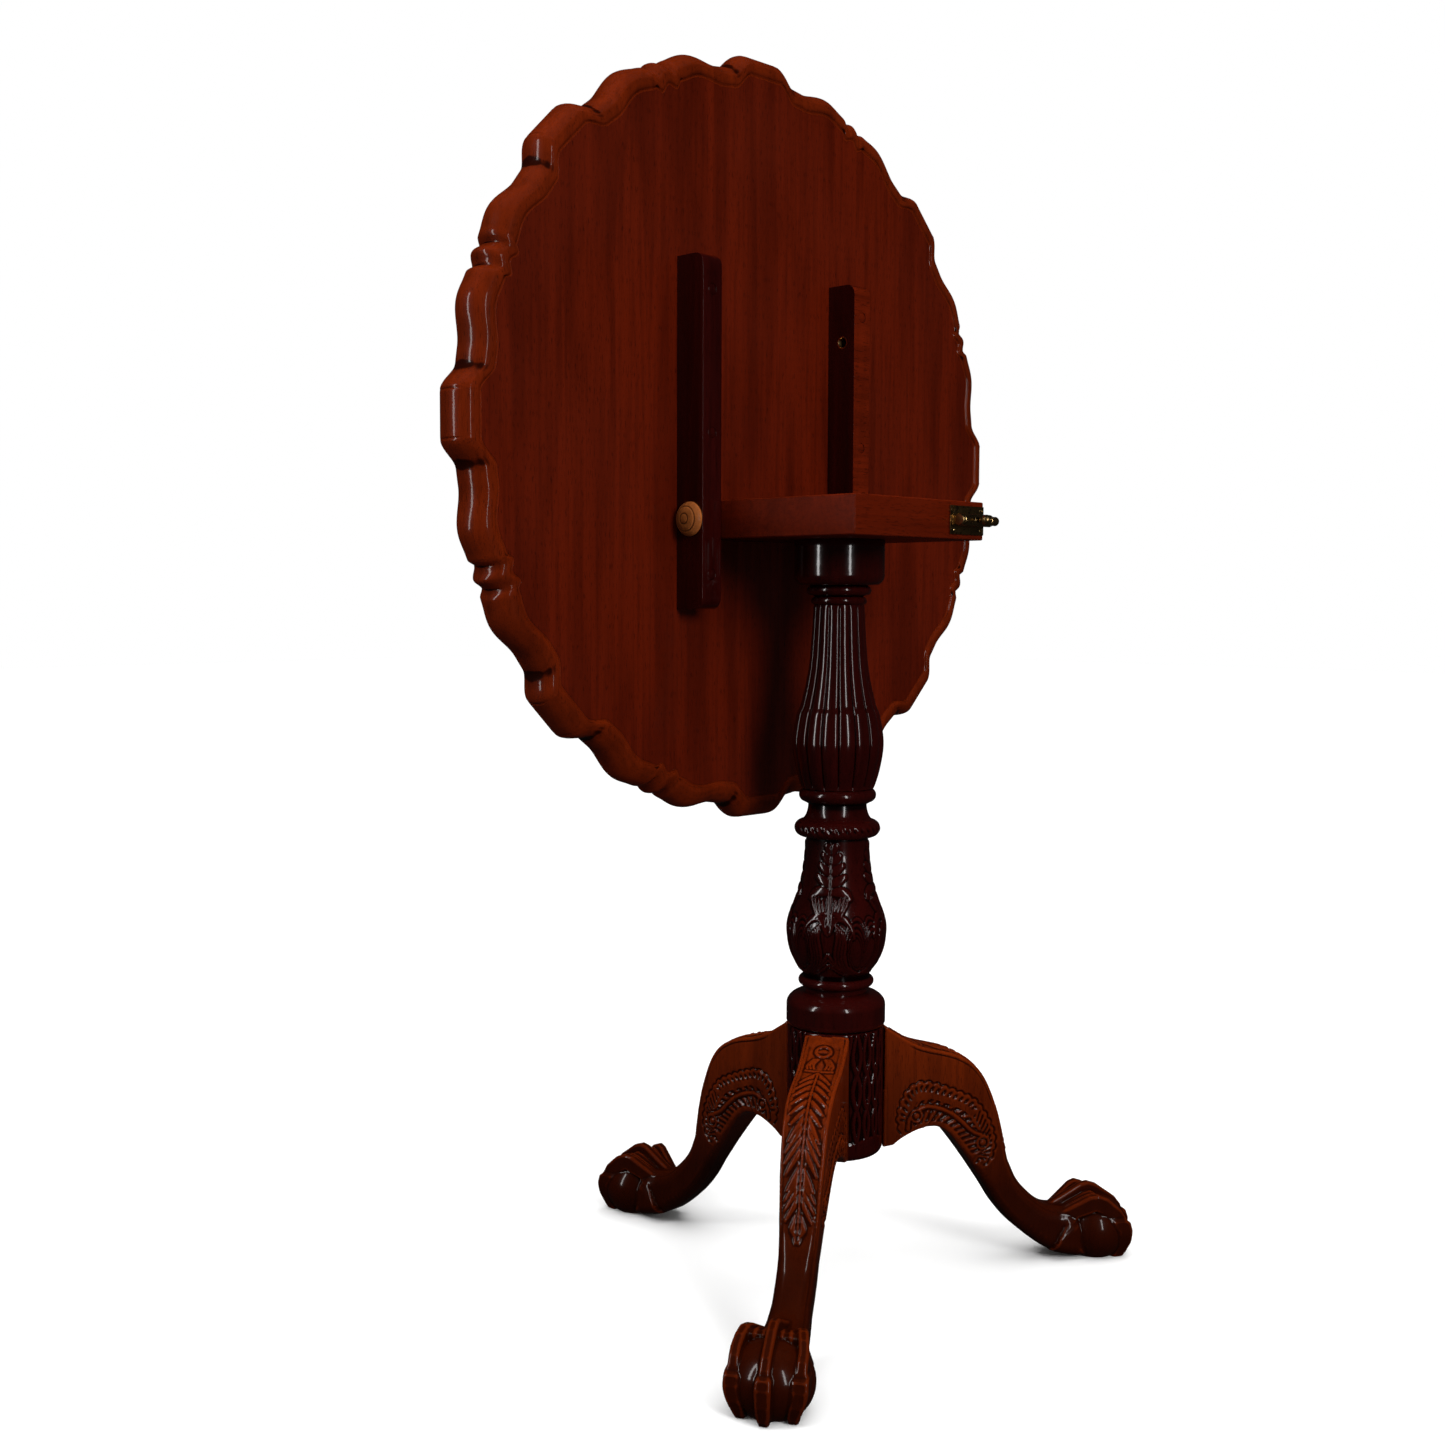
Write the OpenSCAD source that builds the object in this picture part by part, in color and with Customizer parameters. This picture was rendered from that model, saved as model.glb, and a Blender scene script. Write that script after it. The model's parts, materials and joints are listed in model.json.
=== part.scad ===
// Tilt-top tripod table: a pie-crust top that swings on two wooden pins at the
// back of a block, on a turned and reeded pillar with three cabriole legs.
// Origin: on the floor, on the pillar's axis. +Z is up, +X runs along the hinge,
// and the block's latched side faces -Y. Drawn with the top tilted upright.

/* [Overall] */
// Height of the block's upper face above the floor
block_top_h = 704; // [600:1:850]
// Distance from the pillar's axis to the middle of each foot
stance_r = 261; // [220:1:320]

/* [Top] */
// Radius of the top to the middle of each flat of its edge
top_r = 347; // [295:1:430]
// Depth of the deepest scallop, inside the flats
scallop_depth = 13; // [10:0.5:16]
// Thickness of the flat panel
panel_t = 21; // [17:0.5:26]
// Width of the moulded rim
rim_w = 22; // [18:0.5:27]
// Height that the rim stands above the panel
rim_rise = 13; // [10:0.5:16]
// How far the rim's rounded under side drops below the panel
rim_drop = 1.5; // [1:0.1:2]

/* [Block] */
// Width of the block, along the hinge
block_w = 177; // [150:1:222]
// Depth of the block, front to back
block_d = 182; // [145:1:210]
// Thickness of the block
block_t = 33.5; // [28:0.5:40]
// Gap between the block's back and the upright top
tilt_gap = 0.5; // [0.3:0.1:1]

/* [Battens] */
// Width of each batten
batten_w = 23; // [20:0.5:30]
// Depth of each batten, down from the top
batten_d = 32; // [29:0.5:38.5]
// Length of each batten
batten_len = 305; // [250:1:360]
// Radius of the battens' rounded lower ends
batten_round = 10; // [8:0.5:12]
// Gap between each batten and the block's end
batten_gap = 0.8; // [0.5:0.1:1.5]

/* [Hinge pins] */
// Radius of each wooden pin
pin_r = 8; // [6.5:0.5:10]
// Length of each pin inside the block
pin_depth = 34; // [28:1:40]
// Radius of the pin's domed head
pin_head_r = 15; // [12.5:0.5:18]
// Height of the pin's domed head
pin_head_h = 9; // [7.5:0.5:11]
// Running clearance round each pin, on the radius
pin_clear = 0.06; // [0.03:0.01:0.1]

/* [Pillar] */
// Height of the pillar's lower end above the floor
pillar_foot_h = 121; // [100:1:137]
// Radius of the base that the legs join
base_r = 43; // [36:0.5:52]
// Height of the base that the legs join
base_h = 116; // [105:1:143]
// Radius of the drum above the legs
drum_r = 44.5; // [43.5:0.5:53]
// Height of the drum above the legs
drum_h = 18; // [15:0.5:26]
// Greatest radius of the carved urn
urn_r = 43.4; // [36:0.2:52]
// Height of the carved urn
urn_h = 122; // [102:1:146]
// Radius of the narrow neck above the urn
neck_r = 27.6; // [24:0.2:33]
// Greatest radius of the reeded column
column_r = 40.7; // [34:0.1:49]
// Radius of the reeded column's upper end
column_top_r = 22.4; // [20:0.1:27]
// Radius of the collar under the block
collar_r = 40.3; // [34:0.1:48]
// Height of the collar under the block
collar_h = 40; // [33:0.5:48]
// Radius of the tenon that goes through the block
tenon_r = 19; // [16:0.5:22]

/* [Legs] */
// Height of each leg's upper end above the floor
leg_top_h = 235; // [222:1:237]
// Width of each leg at the knee
knee_w = 40; // [34:0.5:48]
// Width of each leg at the ankle
ankle_w = 34; // [30:0.5:40]
// Radius of the ball in each foot
ball_r = 33; // [28:0.5:36]
// Height of the ball's middle above the floor
ball_h = 30; // [26:0.5:33]
// Thickness of each claw at its knuckle
claw_t = 16; // [13:0.5:19]
// Depth of the sliding dovetail into the pillar
dovetail_depth = 15; // [12:0.5:18]
// Width of the dovetail where it leaves the leg
dovetail_neck = 15; // [12:0.5:18]
// Width of the dovetail at its inner end
dovetail_w = 21; // [19:0.5:24]

/* [Base plate] */
// Thickness of the iron plate under the pillar
plate_t = 2.5; // [2:0.1:4]
// Width of each arm of the iron plate
plate_arm_w = 16; // [13:0.5:20]

/* [Latch] */
// Width of the brass latch plate
latch_w = 49; // [41:0.5:58]
// Height of the brass latch plate
latch_h = 25; // [22:0.5:27]
// Thickness of the brass latch plate
latch_t = 1.6; // [1.2:0.1:2]
// Distance from the plate to the block's end
latch_inset = 1.5; // [1:0.1:3]
// Distance of the bolt's axis in front of the block
bolt_out = 8; // [7:0.1:9.6]
// Radius of the bolt
bolt_r = 4.1; // [3.5:0.1:4.9]
// Running clearance round the bolt, on the radius
bolt_clear = 0.06; // [0.03:0.01:0.1]
// Wall of the latch barrel
barrel_wall = 1.2; // [1:0.1:1.4]
// Length that the bolt stands out past the block's end
bolt_show = 8.4; // [7:0.1:10]
// Travel of the bolt
bolt_travel = 8; // [6.6:0.1:9.6]
// Radius of the bolt's round knob
knob_r = 4.6; // [3.8:0.1:5.5]
// Depth of the brass keeper ring in the batten
keeper_depth = 10; // [9:0.5:14]

/* [Screws] */
// Radius of the wood screws' shanks
screw_r = 2; // [1.6:0.1:2.4]
// Length of the batten screws
batten_screw_len = 34; // [30:1:36]
// Radius of the plugs over the batten screws
plug_r = 4.8; // [4.4:0.1:6]
// Depth of each plug
plug_t = 6; // [4:0.5:8]

/* [Hidden] */
$fn = 96;

mahogany = [0.36, 0.12, 0.05];
dark_mahogany = [0.22, 0.06, 0.03];
warm_mahogany = [0.45, 0.19, 0.07];
pale_wood = [0.55, 0.35, 0.16];
brass_yellow = [0.72, 0.56, 0.27];
steel_grey = [0.55, 0.55, 0.56];
iron_black = [0.16, 0.15, 0.15];

eps = 0.01;                       // lets a cut run past a face
overcut = 5;                      // how far a cutting solid runs past what it cuts

// Hinge line and the underside of the closed top
block_under_h = block_top_h - block_t;
pivot_z = block_top_h - block_t / 2;
pivot_y = block_d / 2 - block_t / 2;
underside_z = block_top_h + tilt_gap;
batten_x = block_w / 2 + batten_gap;          // inner face of each batten
batten_low_z = underside_z - batten_d;

// Heights of the pillar's turned members
base_top_z = pillar_foot_h + base_h;
drum_top_z = base_top_z + drum_h;
shoulder_h = 14;
neck_ring_gap = 3;
neck_ring_h = 9;
neck_ring_r = 33.9;
urn_gap = 4;
urn_z = drum_top_z + shoulder_h + neck_ring_gap + neck_ring_h + urn_gap;
torus_z = urn_z + urn_h;
torus_h = 15;
torus_r = neck_r + 10.7;
bell_z = torus_z + torus_h;
bell_h = 16;
bead_z = bell_z + bell_h;
bead_h = 12.5;
bead_r = 34.5;
column_z = bead_z + bead_h;
top_ring_h = 9;
low_ring_h = 7.5;
ring_gap = 1;
collar_z = block_under_h - collar_h;
top_ring_z = collar_z - top_ring_h;
low_ring_z = top_ring_z - ring_gap - low_ring_h;
column_h = low_ring_z - column_z;

// Wedge that spreads the tenon
wedge_depth = 26;
wedge_top_w = 3.2;
wedge_low_w = 1.2;

// Legs: azimuth from -Y, positive towards +X
leg_azimuths = [-60, 60, 180];
leg_reach = stance_r - base_r;
leg_seat_h = pillar_foot_h;
leg_heel_h = 3;                   // from the pillar's foot up to a leg's under side
dovetail_top_h = leg_top_h - 14;
dovetail_shoulder = 2;
glue_gap = 0.1;

// Iron plate
plate_screw_r = base_r - 10;      // radius of the screws into the legs' dovetails
plate_arm_r = base_r - 13;
base_screw_len = 16;

// Latch, along the block's end
plate_front_y = -block_d / 2 - latch_t;
saddle_h = 7;
barrel_r = bolt_r + bolt_clear + barrel_wall;
bolt_y = -block_d / 2 - bolt_out;
plate_x1 = block_w / 2 - latch_inset;
plate_x0 = plate_x1 - latch_w;
barrel_x0 = plate_x0 + 3.5;
barrel_x1 = plate_x1 - 0.5;
barrel_end_t = 1.5;
bolt_x1 = block_w / 2 + bolt_show;
bolt_len = 36.4;
bolt_nose = 2;
bolt_x0 = bolt_x1 - bolt_len;
stem_x = bolt_x0 + 6;
stem_r = 1.8;
stem_len = bolt_r + 7;
stem_slot_gap = 0.4;
spring_wire_r = 0.35;
spring_turns = 6;
spring_steps = 14;
spring_sides = 6;
spring_r = bolt_r - spring_wire_r - 0.3;
spring_x0 = barrel_x0 + barrel_end_t + spring_wire_r;
spring_x1 = bolt_x0 - spring_wire_r;
keeper_r = bolt_r + 0.5;
keeper_wall = 1.4;
keeper_y = bolt_y;
latch_screw_r = 1.1;
latch_screw_len = 10;
latch_screw_head_r = 2.2;
latch_screw_edge = 4;

pin_head_x = pin_depth + batten_gap + batten_w;

screw_sink = 10;
batten_screw_ys = [-0.4 * batten_len, 0, 0.4 * batten_len];
screw_head_r = 2.1 * screw_r;

// ---------------------------------------------------------------- helpers

// Point on a smooth curve through p1 and p2, a fraction t of the way
function spline(p0, p1, p2, p3, t) = 0.5 * (2 * p1 + (p2 - p0) * t
    + (2 * p0 - 5 * p1 + 4 * p2 - p3) * t * t + (3 * p1 - p0 - 3 * p2 + p3) * t * t * t);

// Smooth curve through all the points, with steps pieces between neighbours
function smooth(points, steps) = [
    for (i = [0 : len(points) - 2]) for (k = [0 : steps - 1])
        spline(points[max(i - 1, 0)], points[i], points[i + 1],
               points[min(i + 2, len(points) - 1)], k / steps),
    points[len(points) - 1]
];

// Half-round member of a turned profile, from z up to z + h, out to radius r
function turned_bead(z, h, r, bulge = 0.5) = [
    for (a = [-90 : 22.5 : 90]) [r - h * bulge * (1 - cos(a)), z + h / 2 * (1 + sin(a))]
];

// Countersunk screw with its head's flat on z = 0 and its point at z = -length
module wood_screw(r, length, head_r) {
    head_h = head_r - r;
    translate([0, 0, -head_h]) cylinder(r1 = r, r2 = head_r, h = head_h);
    translate([0, 0, -length]) cylinder(r = r, h = length - head_h);
}

// What a screw takes out of the wood: the same shape, from above the face down
module screw_hole(r, length, head_r) {
    wood_screw(r, length, head_r);
    cylinder(r = head_r, h = overcut);
}

// Places what is drawn for the closed top where it stands when tilted upright
module tilted_up() {
    translate([0, pivot_y, pivot_z]) rotate([-90, 0, 0])
        translate([0, -pivot_y, -pivot_z]) children();
}

// Turns what is drawn along -Y to a leg's own azimuth
module at_leg(azimuth) {
    rotate([0, 0, azimuth]) children();
}

// ---------------------------------------------------------------- pillar

shoulder = [for (a = [0 : 18 : 90])
    [neck_r + (drum_r - neck_r) * cos(a), drum_top_z + (shoulder_h - 2) * sin(a)]];

urn = smooth([[urn_r - 12, urn_z], [urn_r - 3, urn_z + 0.15 * urn_h],
    [urn_r, urn_z + 0.28 * urn_h], [urn_r - 0.6, urn_z + 0.38 * urn_h],
    [urn_r - 6.2, urn_z + 0.52 * urn_h], [neck_r + 4, urn_z + 0.67 * urn_h],
    [neck_r + 0.6, urn_z + 0.86 * urn_h], [neck_r, torus_z]], 4);

column = smooth([[column_r - 8.3, column_z], [column_r - 3, column_z + 0.11 * column_h],
    [column_r, column_z + 0.25 * column_h], [column_r - 3.6, column_z + 0.40 * column_h],
    [column_top_r + 10.4, column_z + 0.47 * column_h],
    [column_top_r + 3.6, column_z + 0.68 * column_h],
    [column_top_r, low_ring_z]], 4);

bell = [for (a = [0 : 18 : 90])
    [neck_r - 1.6 + 6.6 * (1 - sin(a)), bell_z + bell_h * (1 - cos(a))]];

collar_bottom = [for (a = [-90 : 18 : 0])
    [collar_r - 8 * (1 - cos(a)), collar_z + 9 * (1 + sin(a))]];

module turned_pillar() {
    rotate_extrude() polygon(concat(
        [[0, pillar_foot_h], [base_r - 6, pillar_foot_h], [base_r, pillar_foot_h + 7],
         [base_r, base_top_z], [drum_r, base_top_z + 1]],
        shoulder,
        [[neck_r, drum_top_z + shoulder_h]],
        turned_bead(drum_top_z + shoulder_h + neck_ring_gap, neck_ring_h, neck_ring_r),
        [[neck_ring_r - neck_ring_h / 2 + 2, urn_z]],
        urn,
        turned_bead(torus_z, torus_h, torus_r),
        bell,
        turned_bead(bead_z, bead_h, bead_r),
        column,
        turned_bead(low_ring_z, low_ring_h, column_top_r + 2.5),
        turned_bead(top_ring_z, top_ring_h, column_top_r + 6.4),
        collar_bottom,
        [[collar_r, block_under_h], [tenon_r, block_under_h],
         [tenon_r, block_top_h], [0, block_top_h]]));
}

module wedge_solid() {
    rotate([90, 0, 0]) translate([0, 0, -tenon_r]) linear_extrude(2 * tenon_r)
        polygon([[-wedge_top_w / 2, block_top_h], [wedge_top_w / 2, block_top_h],
                 [wedge_low_w / 2, block_top_h - wedge_depth],
                 [-wedge_low_w / 2, block_top_h - wedge_depth]]);
}

// Dovetail key at the back of a leg, grown all round by the gap for its socket
module dovetail(gap, low, high) {
    translate([0, 0, low]) linear_extrude(high - low) polygon([
        [-dovetail_neck / 2 - gap, -base_r - eps], [dovetail_neck / 2 + gap, -base_r - eps],
        [dovetail_neck / 2 + gap, -base_r + dovetail_shoulder],
        [dovetail_w / 2 + gap, -base_r + dovetail_depth + gap],
        [-dovetail_w / 2 - gap, -base_r + dovetail_depth + gap],
        [-dovetail_neck / 2 - gap, -base_r + dovetail_shoulder]]);
}

module pillar() {
    color(dark_mahogany) difference() {
        turned_pillar();
        wedge_solid();
        for (azimuth = leg_azimuths) at_leg(azimuth)
            dovetail(glue_gap, pillar_foot_h - overcut, dovetail_top_h + glue_gap);
        translate([0, 0, pillar_foot_h - plate_t]) mirror([0, 0, 1])
            wood_screw(screw_r, base_screw_len, screw_head_r);
    }
}

module tenon_wedge() {
    color(pale_wood) intersection() {
        wedge_solid();
        translate([0, 0, block_under_h]) cylinder(r = tenon_r, h = block_t);
    }
}

// ---------------------------------------------------------------- block

module pillar_block() {
    color(mahogany) difference() {
        translate([-block_w / 2, 0, 0]) rotate([90, 0, 90]) linear_extrude(block_w)
            polygon(concat(
                [[-block_d / 2, block_under_h], [block_d / 2, block_under_h]],
                [for (a = [0 : 10 : 90])
                    [pivot_y + block_t / 2 * cos(a), pivot_z + block_t / 2 * sin(a)]],
                [[-block_d / 2, block_top_h]]));
        translate([0, 0, block_under_h - overcut]) cylinder(r = tenon_r, h = block_t + 2 * overcut);
        for (side = [-1, 1])
            translate([side * (block_w / 2 - pin_depth - 1), pivot_y, pivot_z])
                rotate([0, side * 90, 0])
                    cylinder(r = pin_r + pin_clear, h = pin_depth + 1 + overcut);
        latch_screw_places() wood_screw(latch_screw_r, latch_screw_len, latch_screw_head_r);
    }
}

// ---------------------------------------------------------------- legs

// Outline of a leg in its own upright plane: fractions of its reach and height
front_curve = smooth([[0, 1], [0.03, 0.978], [0.15, 0.915], [0.32, 0.868], [0.425, 0.795],
    [0.50, 0.655], [0.553, 0.49], [0.583, 0.40], [0.638, 0.312], [0.75, 0.223],
    [0.86, 0.194], [0.93, 0.117]], 4);
back_curve = smooth([[0.88, 0.01], [0.755, 0.045], [0.615, 0.142], [0.527, 0.232],
    [0.461, 0.328], [0.384, 0.436], [0.321, 0.517], [0.275, 0.564], [0.225, 0.589],
    [0.151, 0.587], [0.076, 0.560], [0.03, 0.532]], 4);

function leg_point(p) = [base_r + p[0] * leg_reach, p[1] * leg_top_h];

module leg_side_view() {
    polygon(concat([for (p = front_curve) leg_point(p)],
        [leg_point([0.93, 0.01])],
        [for (p = back_curve) leg_point(p)],
        [[base_r / 2, leg_seat_h + leg_heel_h],
         [base_r / 2, leg_top_h]]));
}

// Half widths of a leg along its reach, seen from above
function leg_plan_points() = [for (p = [[-0.2, knee_w], [0.35, knee_w], [0.62, ankle_w],
    [0.74, ankle_w], [0.86, 1.3 * ankle_w], [0.94, 1.3 * ankle_w]])
    [base_r + p[0] * leg_reach, p[1] / 2]];

module leg_plan_view() {
    half = leg_plan_points();
    polygon(concat(half, [for (i = [len(half) - 1 : -1 : 0]) [half[i][0], -half[i][1]]]));
}

module leg_shaft() {
    intersection() {
        rotate([0, 0, -90]) rotate([90, 0, 0]) translate([0, 0, -knee_w])
            linear_extrude(2 * knee_w) leg_side_view();
        rotate([0, 0, -90]) linear_extrude(leg_top_h + overcut) leg_plan_view();
    }
}

// Tapered round bar between two points
module bar_between(p, q, rp, rq) {
    d = q - p;
    translate(p) rotate([0, acos(d[2] / norm(d)), atan2(d[1], d[0])])
        cylinder(r1 = rp, r2 = rq, h = norm(d));
}

// One claw over the ball: from the ankle, over the knuckle and down to the floor
module claw(side) {
    r = claw_t / 2;
    lean = abs(side);
    ankle = [side * 11, -(stance_r - 1.70 * ball_r), ball_h + 15 - 4 * lean];
    knuckle = [side * 21, -(stance_r - 0.05 * ball_r - 3 * lean), ball_h + ball_r - 3 - 9 * lean];
    bend = [side * 26, -(stance_r + 0.98 * ball_r - 9 * lean), ball_h + 5 - 4 * lean];
    tip = [side * 24, -(stance_r + 1.02 * ball_r - 10 * lean), -2];
    bar_between(ankle, knuckle, 0.8 * r, 0.9 * r);
    translate(knuckle) sphere(r = 1.05 * r);
    bar_between(knuckle, bend, 0.9 * r, 0.75 * r);
    translate(bend) sphere(r = 0.9 * r);
    bar_between(bend, tip, 0.75 * r, 0.4 * r);
}

module ball_and_claw() {
    intersection() {
        union() {
            translate([0, -stance_r, ball_h]) sphere(r = ball_r);
            for (side = [-1, 0, 1]) claw(side);
        }
        translate([-2 * ball_r, -stance_r - 3 * ball_r, 0]) cube([4 * ball_r, 6 * ball_r, 4 * ball_r]);
    }
}

module cabriole_leg(azimuth) {
    color(warm_mahogany) at_leg(azimuth) difference() {
        union() {
            difference() {
                leg_shaft();
                translate([0, 0, leg_seat_h - overcut]) cylinder(r = base_r, h = leg_top_h);
            }
            dovetail(0, leg_seat_h, dovetail_top_h);
            ball_and_claw();
        }
        translate([0, -plate_screw_r, pillar_foot_h - plate_t]) mirror([0, 0, 1])
            wood_screw(screw_r, base_screw_len, screw_head_r);
    }
}

module leg_front_left() { cabriole_leg(leg_azimuths[0]); }
module leg_front_right() { cabriole_leg(leg_azimuths[1]); }
module leg_rear() { cabriole_leg(leg_azimuths[2]); }

// ---------------------------------------------------------------- iron plate

module base_plate() {
    color(iron_black) difference() {
        translate([0, 0, pillar_foot_h - plate_t]) linear_extrude(plate_t) union() {
            circle(r = 0.5 * base_r);
            for (azimuth = leg_azimuths) rotate(azimuth) {
                translate([-plate_arm_w / 2, -plate_arm_r]) square([plate_arm_w, plate_arm_r]);
                translate([0, -plate_arm_r]) circle(r = plate_arm_w / 2);
            }
        }
        base_screw_places() wood_screw(screw_r, base_screw_len, screw_head_r);
    }
}

module base_screw_places() {
    for (azimuth = leg_azimuths) at_leg(azimuth)
        translate([0, -plate_screw_r, pillar_foot_h - plate_t]) mirror([0, 0, 1]) children();
    translate([0, 0, pillar_foot_h - plate_t]) mirror([0, 0, 1]) children();
}

module base_plate_screws() {
    color(steel_grey) base_screw_places() wood_screw(screw_r, base_screw_len, screw_head_r);
}

// ---------------------------------------------------------------- latch

module latch_screw_places() {
    for (x = [plate_x0 + latch_screw_edge, plate_x1 - latch_screw_edge])
        for (dz = [-1, 1] * (latch_h / 2 - latch_screw_edge))
            translate([x, plate_front_y, pivot_z + dz]) rotate([90, 0, 0]) children();
}

// Flat brass plate with a saddle that carries the barrel
module latch_plate() {
    color(brass_yellow) difference() {
        union() {
            translate([plate_x0, plate_front_y, pivot_z - latch_h / 2])
                cube([latch_w, latch_t, latch_h]);
            translate([barrel_x0, bolt_y, pivot_z - saddle_h / 2])
                cube([barrel_x1 - barrel_x0, -block_d / 2 - bolt_y, saddle_h]);
        }
        translate([barrel_x0 - overcut, bolt_y, pivot_z]) rotate([0, 90, 0])
            cylinder(r = barrel_r, h = barrel_x1 - barrel_x0 + 2 * overcut);
        latch_screw_places() screw_hole(latch_screw_r, latch_screw_len, latch_screw_head_r);
    }
}

module latch_barrel() {
    slot_x0 = stem_x - bolt_travel - stem_r - stem_slot_gap;
    slot_x1 = stem_x + stem_r + stem_slot_gap;
    slot_w = 2 * (stem_r + stem_slot_gap);
    color(brass_yellow) difference() {
        translate([barrel_x0, bolt_y, pivot_z]) rotate([0, 90, 0])
            cylinder(r = barrel_r, h = barrel_x1 - barrel_x0);
        translate([barrel_x0 + barrel_end_t, bolt_y, pivot_z]) rotate([0, 90, 0])
            cylinder(r = bolt_r + bolt_clear, h = barrel_x1 - barrel_x0);
        translate([slot_x0, bolt_y - barrel_r - overcut, pivot_z - slot_w / 2])
            cube([slot_x1 - slot_x0, barrel_r + overcut, slot_w]);
    }
}

module latch_plate_screws() {
    color(brass_yellow) latch_screw_places()
        wood_screw(latch_screw_r, latch_screw_len, latch_screw_head_r);
}

// Round bolt with a domed nose, bored across for the knob's stem
module latch_bolt() {
    color(brass_yellow) difference() {
        translate([0, bolt_y, pivot_z]) rotate([0, 90, 0]) rotate_extrude() polygon(concat(
            [[0, bolt_x0], [bolt_r, bolt_x0]],
            [for (a = [0 : 15 : 90])
                [bolt_r - bolt_nose * (1 - cos(a)), bolt_x1 - bolt_nose * (1 - sin(a))]],
            [[0, bolt_x1]]));
        translate([stem_x, bolt_y, pivot_z]) rotate([90, 0, 0])
            cylinder(r = stem_r, h = bolt_r + overcut);
    }
}

module latch_knob() {
    color(brass_yellow) translate([stem_x, bolt_y, pivot_z]) rotate([90, 0, 0]) union() {
        cylinder(r = stem_r, h = stem_len);
        translate([0, 0, stem_len]) sphere(r = knob_r, $fn = 48);
    }
}

// Helix from the barrel's closed end to the bolt's tail, as rings of a bent tube
function spring_ring(i) = let (
    turn = 360 * i / spring_steps,
    x = spring_x0 + (spring_x1 - spring_x0) * i / (spring_turns * spring_steps))
    [for (k = [0 : spring_sides - 1]) let (
        a = 360 * k / spring_sides, r = spring_r + spring_wire_r * cos(a))
        [x + spring_wire_r * sin(a), bolt_y + r * cos(turn), pivot_z + r * sin(turn)]];

module latch_spring() {
    rings = spring_turns * spring_steps;
    points = [for (i = [0 : rings]) for (p = spring_ring(i)) p];
    color(steel_grey) polyhedron(points, concat(
        [[for (k = [0 : spring_sides - 1]) k]],
        [[for (k = [spring_sides - 1 : -1 : 0]) rings * spring_sides + k]],
        [for (i = [0 : rings - 1]) for (k = [0 : spring_sides - 1]) let (
            a = i * spring_sides + k, b = i * spring_sides + (k + 1) % spring_sides)
            [b, a, a + spring_sides, b + spring_sides]]), convexity = 10);
}

// ---------------------------------------------------------------- top

// Outline of the edge: [degrees from the middle of a flat, depth inside the flat]
edge_marks = [[3.2, 0], [7.2, 1], [9.5, 1], [16, 0.33], [19.6, 0.5], [20.8, 0.87], [22.5, 0.5]];
edge_stops = [0, 3.2, 3.9, 4.6, 5.3, 6, 6.8, 8, 9.5, 11, 12.6, 14.2, 16, 17.6, 18.9, 20.0, 20.8, 21.6];

// Eased value between two neighbouring marks
function eased(a, b, t) = a + (b - a) * (1 - cos(180 * t)) / 2;

// Share of the scallop depth at an angle from 0 to 22.5 degrees
function depth_share(a) = let (
    i = max([for (k = [0 : len(edge_marks) - 2]) a >= edge_marks[k][0] ? k : 0]),
    m = edge_marks[i], n = edge_marks[i + 1])
    a <= edge_marks[0][0] ? 0 : eased(m[1], n[1], (a - m[0]) / (n[0] - m[0]));

// Radius of the edge at an angle within half a scallop; the flat is a straight chord
function edge_radius(a) = (a <= edge_marks[0][0] ? top_r / cos(a)
    : top_r / cos(edge_marks[0][0]) - scallop_depth * depth_share(a));

// Every station round the edge, [angle, radius]
half_scallop = 22.5;
stations = [for (n = [0 : 7]) each concat(
    [for (a = edge_stops) [45 * n + a, edge_radius(a)]],
    [[45 * n + half_scallop, edge_radius(half_scallop)]],
    [for (i = [len(edge_stops) - 1 : -1 : 1])
        [45 * n + 45 - edge_stops[i], edge_radius(edge_stops[i])]])];

module top_panel() {
    color(mahogany) tilted_up() difference() {
        translate([0, 0, underside_z]) linear_extrude(panel_t)
            polygon([for (s = stations) (s[1] - rim_w) * [cos(s[0]), sin(s[0])]]);
        batten_screw_places() wood_screw(screw_r, batten_screw_len, screw_head_r);
    }
}

// Section of the rim: [distance inside the edge, height above the underside]
rim_section = [[rim_w, 0], [0.72 * rim_w, -rim_drop], [0.42 * rim_w, 0.05 * panel_t],
    [0.18 * rim_w, 0.28 * panel_t], [0.04 * rim_w, 0.58 * panel_t], [0, 0.88 * panel_t],
    [0.03 * rim_w, panel_t + 0.25 * rim_rise], [0.17 * rim_w, panel_t + 0.72 * rim_rise],
    [0.38 * rim_w, panel_t + rim_rise], [0.60 * rim_w, panel_t + 0.88 * rim_rise],
    [0.78 * rim_w, panel_t + 0.45 * rim_rise], [rim_w, panel_t]];

module pie_crust_rim() {
    sides = len(rim_section);
    count = len(stations);
    points = [for (s = stations) for (p = rim_section)
        [(s[1] - p[0]) * cos(s[0]), (s[1] - p[0]) * sin(s[0]), underside_z + p[1]]];
    faces = [for (i = [0 : count - 1]) for (k = [0 : sides - 1]) let (
        a = i * sides + k, b = i * sides + (k + 1) % sides,
        c = (i + 1) % count * sides + k, d = (i + 1) % count * sides + (k + 1) % sides)
        each [[a, b, d], [a, d, c]]];
    color(warm_mahogany) tilted_up() polyhedron(points, faces, convexity = 10);
}

// ---------------------------------------------------------------- battens

module batten_screw_places() {
    for (side = [-1, 1]) for (y = batten_screw_ys)
        translate([side * (batten_x + batten_w / 2), y, batten_low_z + screw_sink])
            mirror([0, 0, 1]) children();
}

module plug_places() {
    for (side = [-1, 1]) for (y = batten_screw_ys)
        translate([side * (batten_x + batten_w / 2), y, batten_low_z]) children();
}

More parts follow.
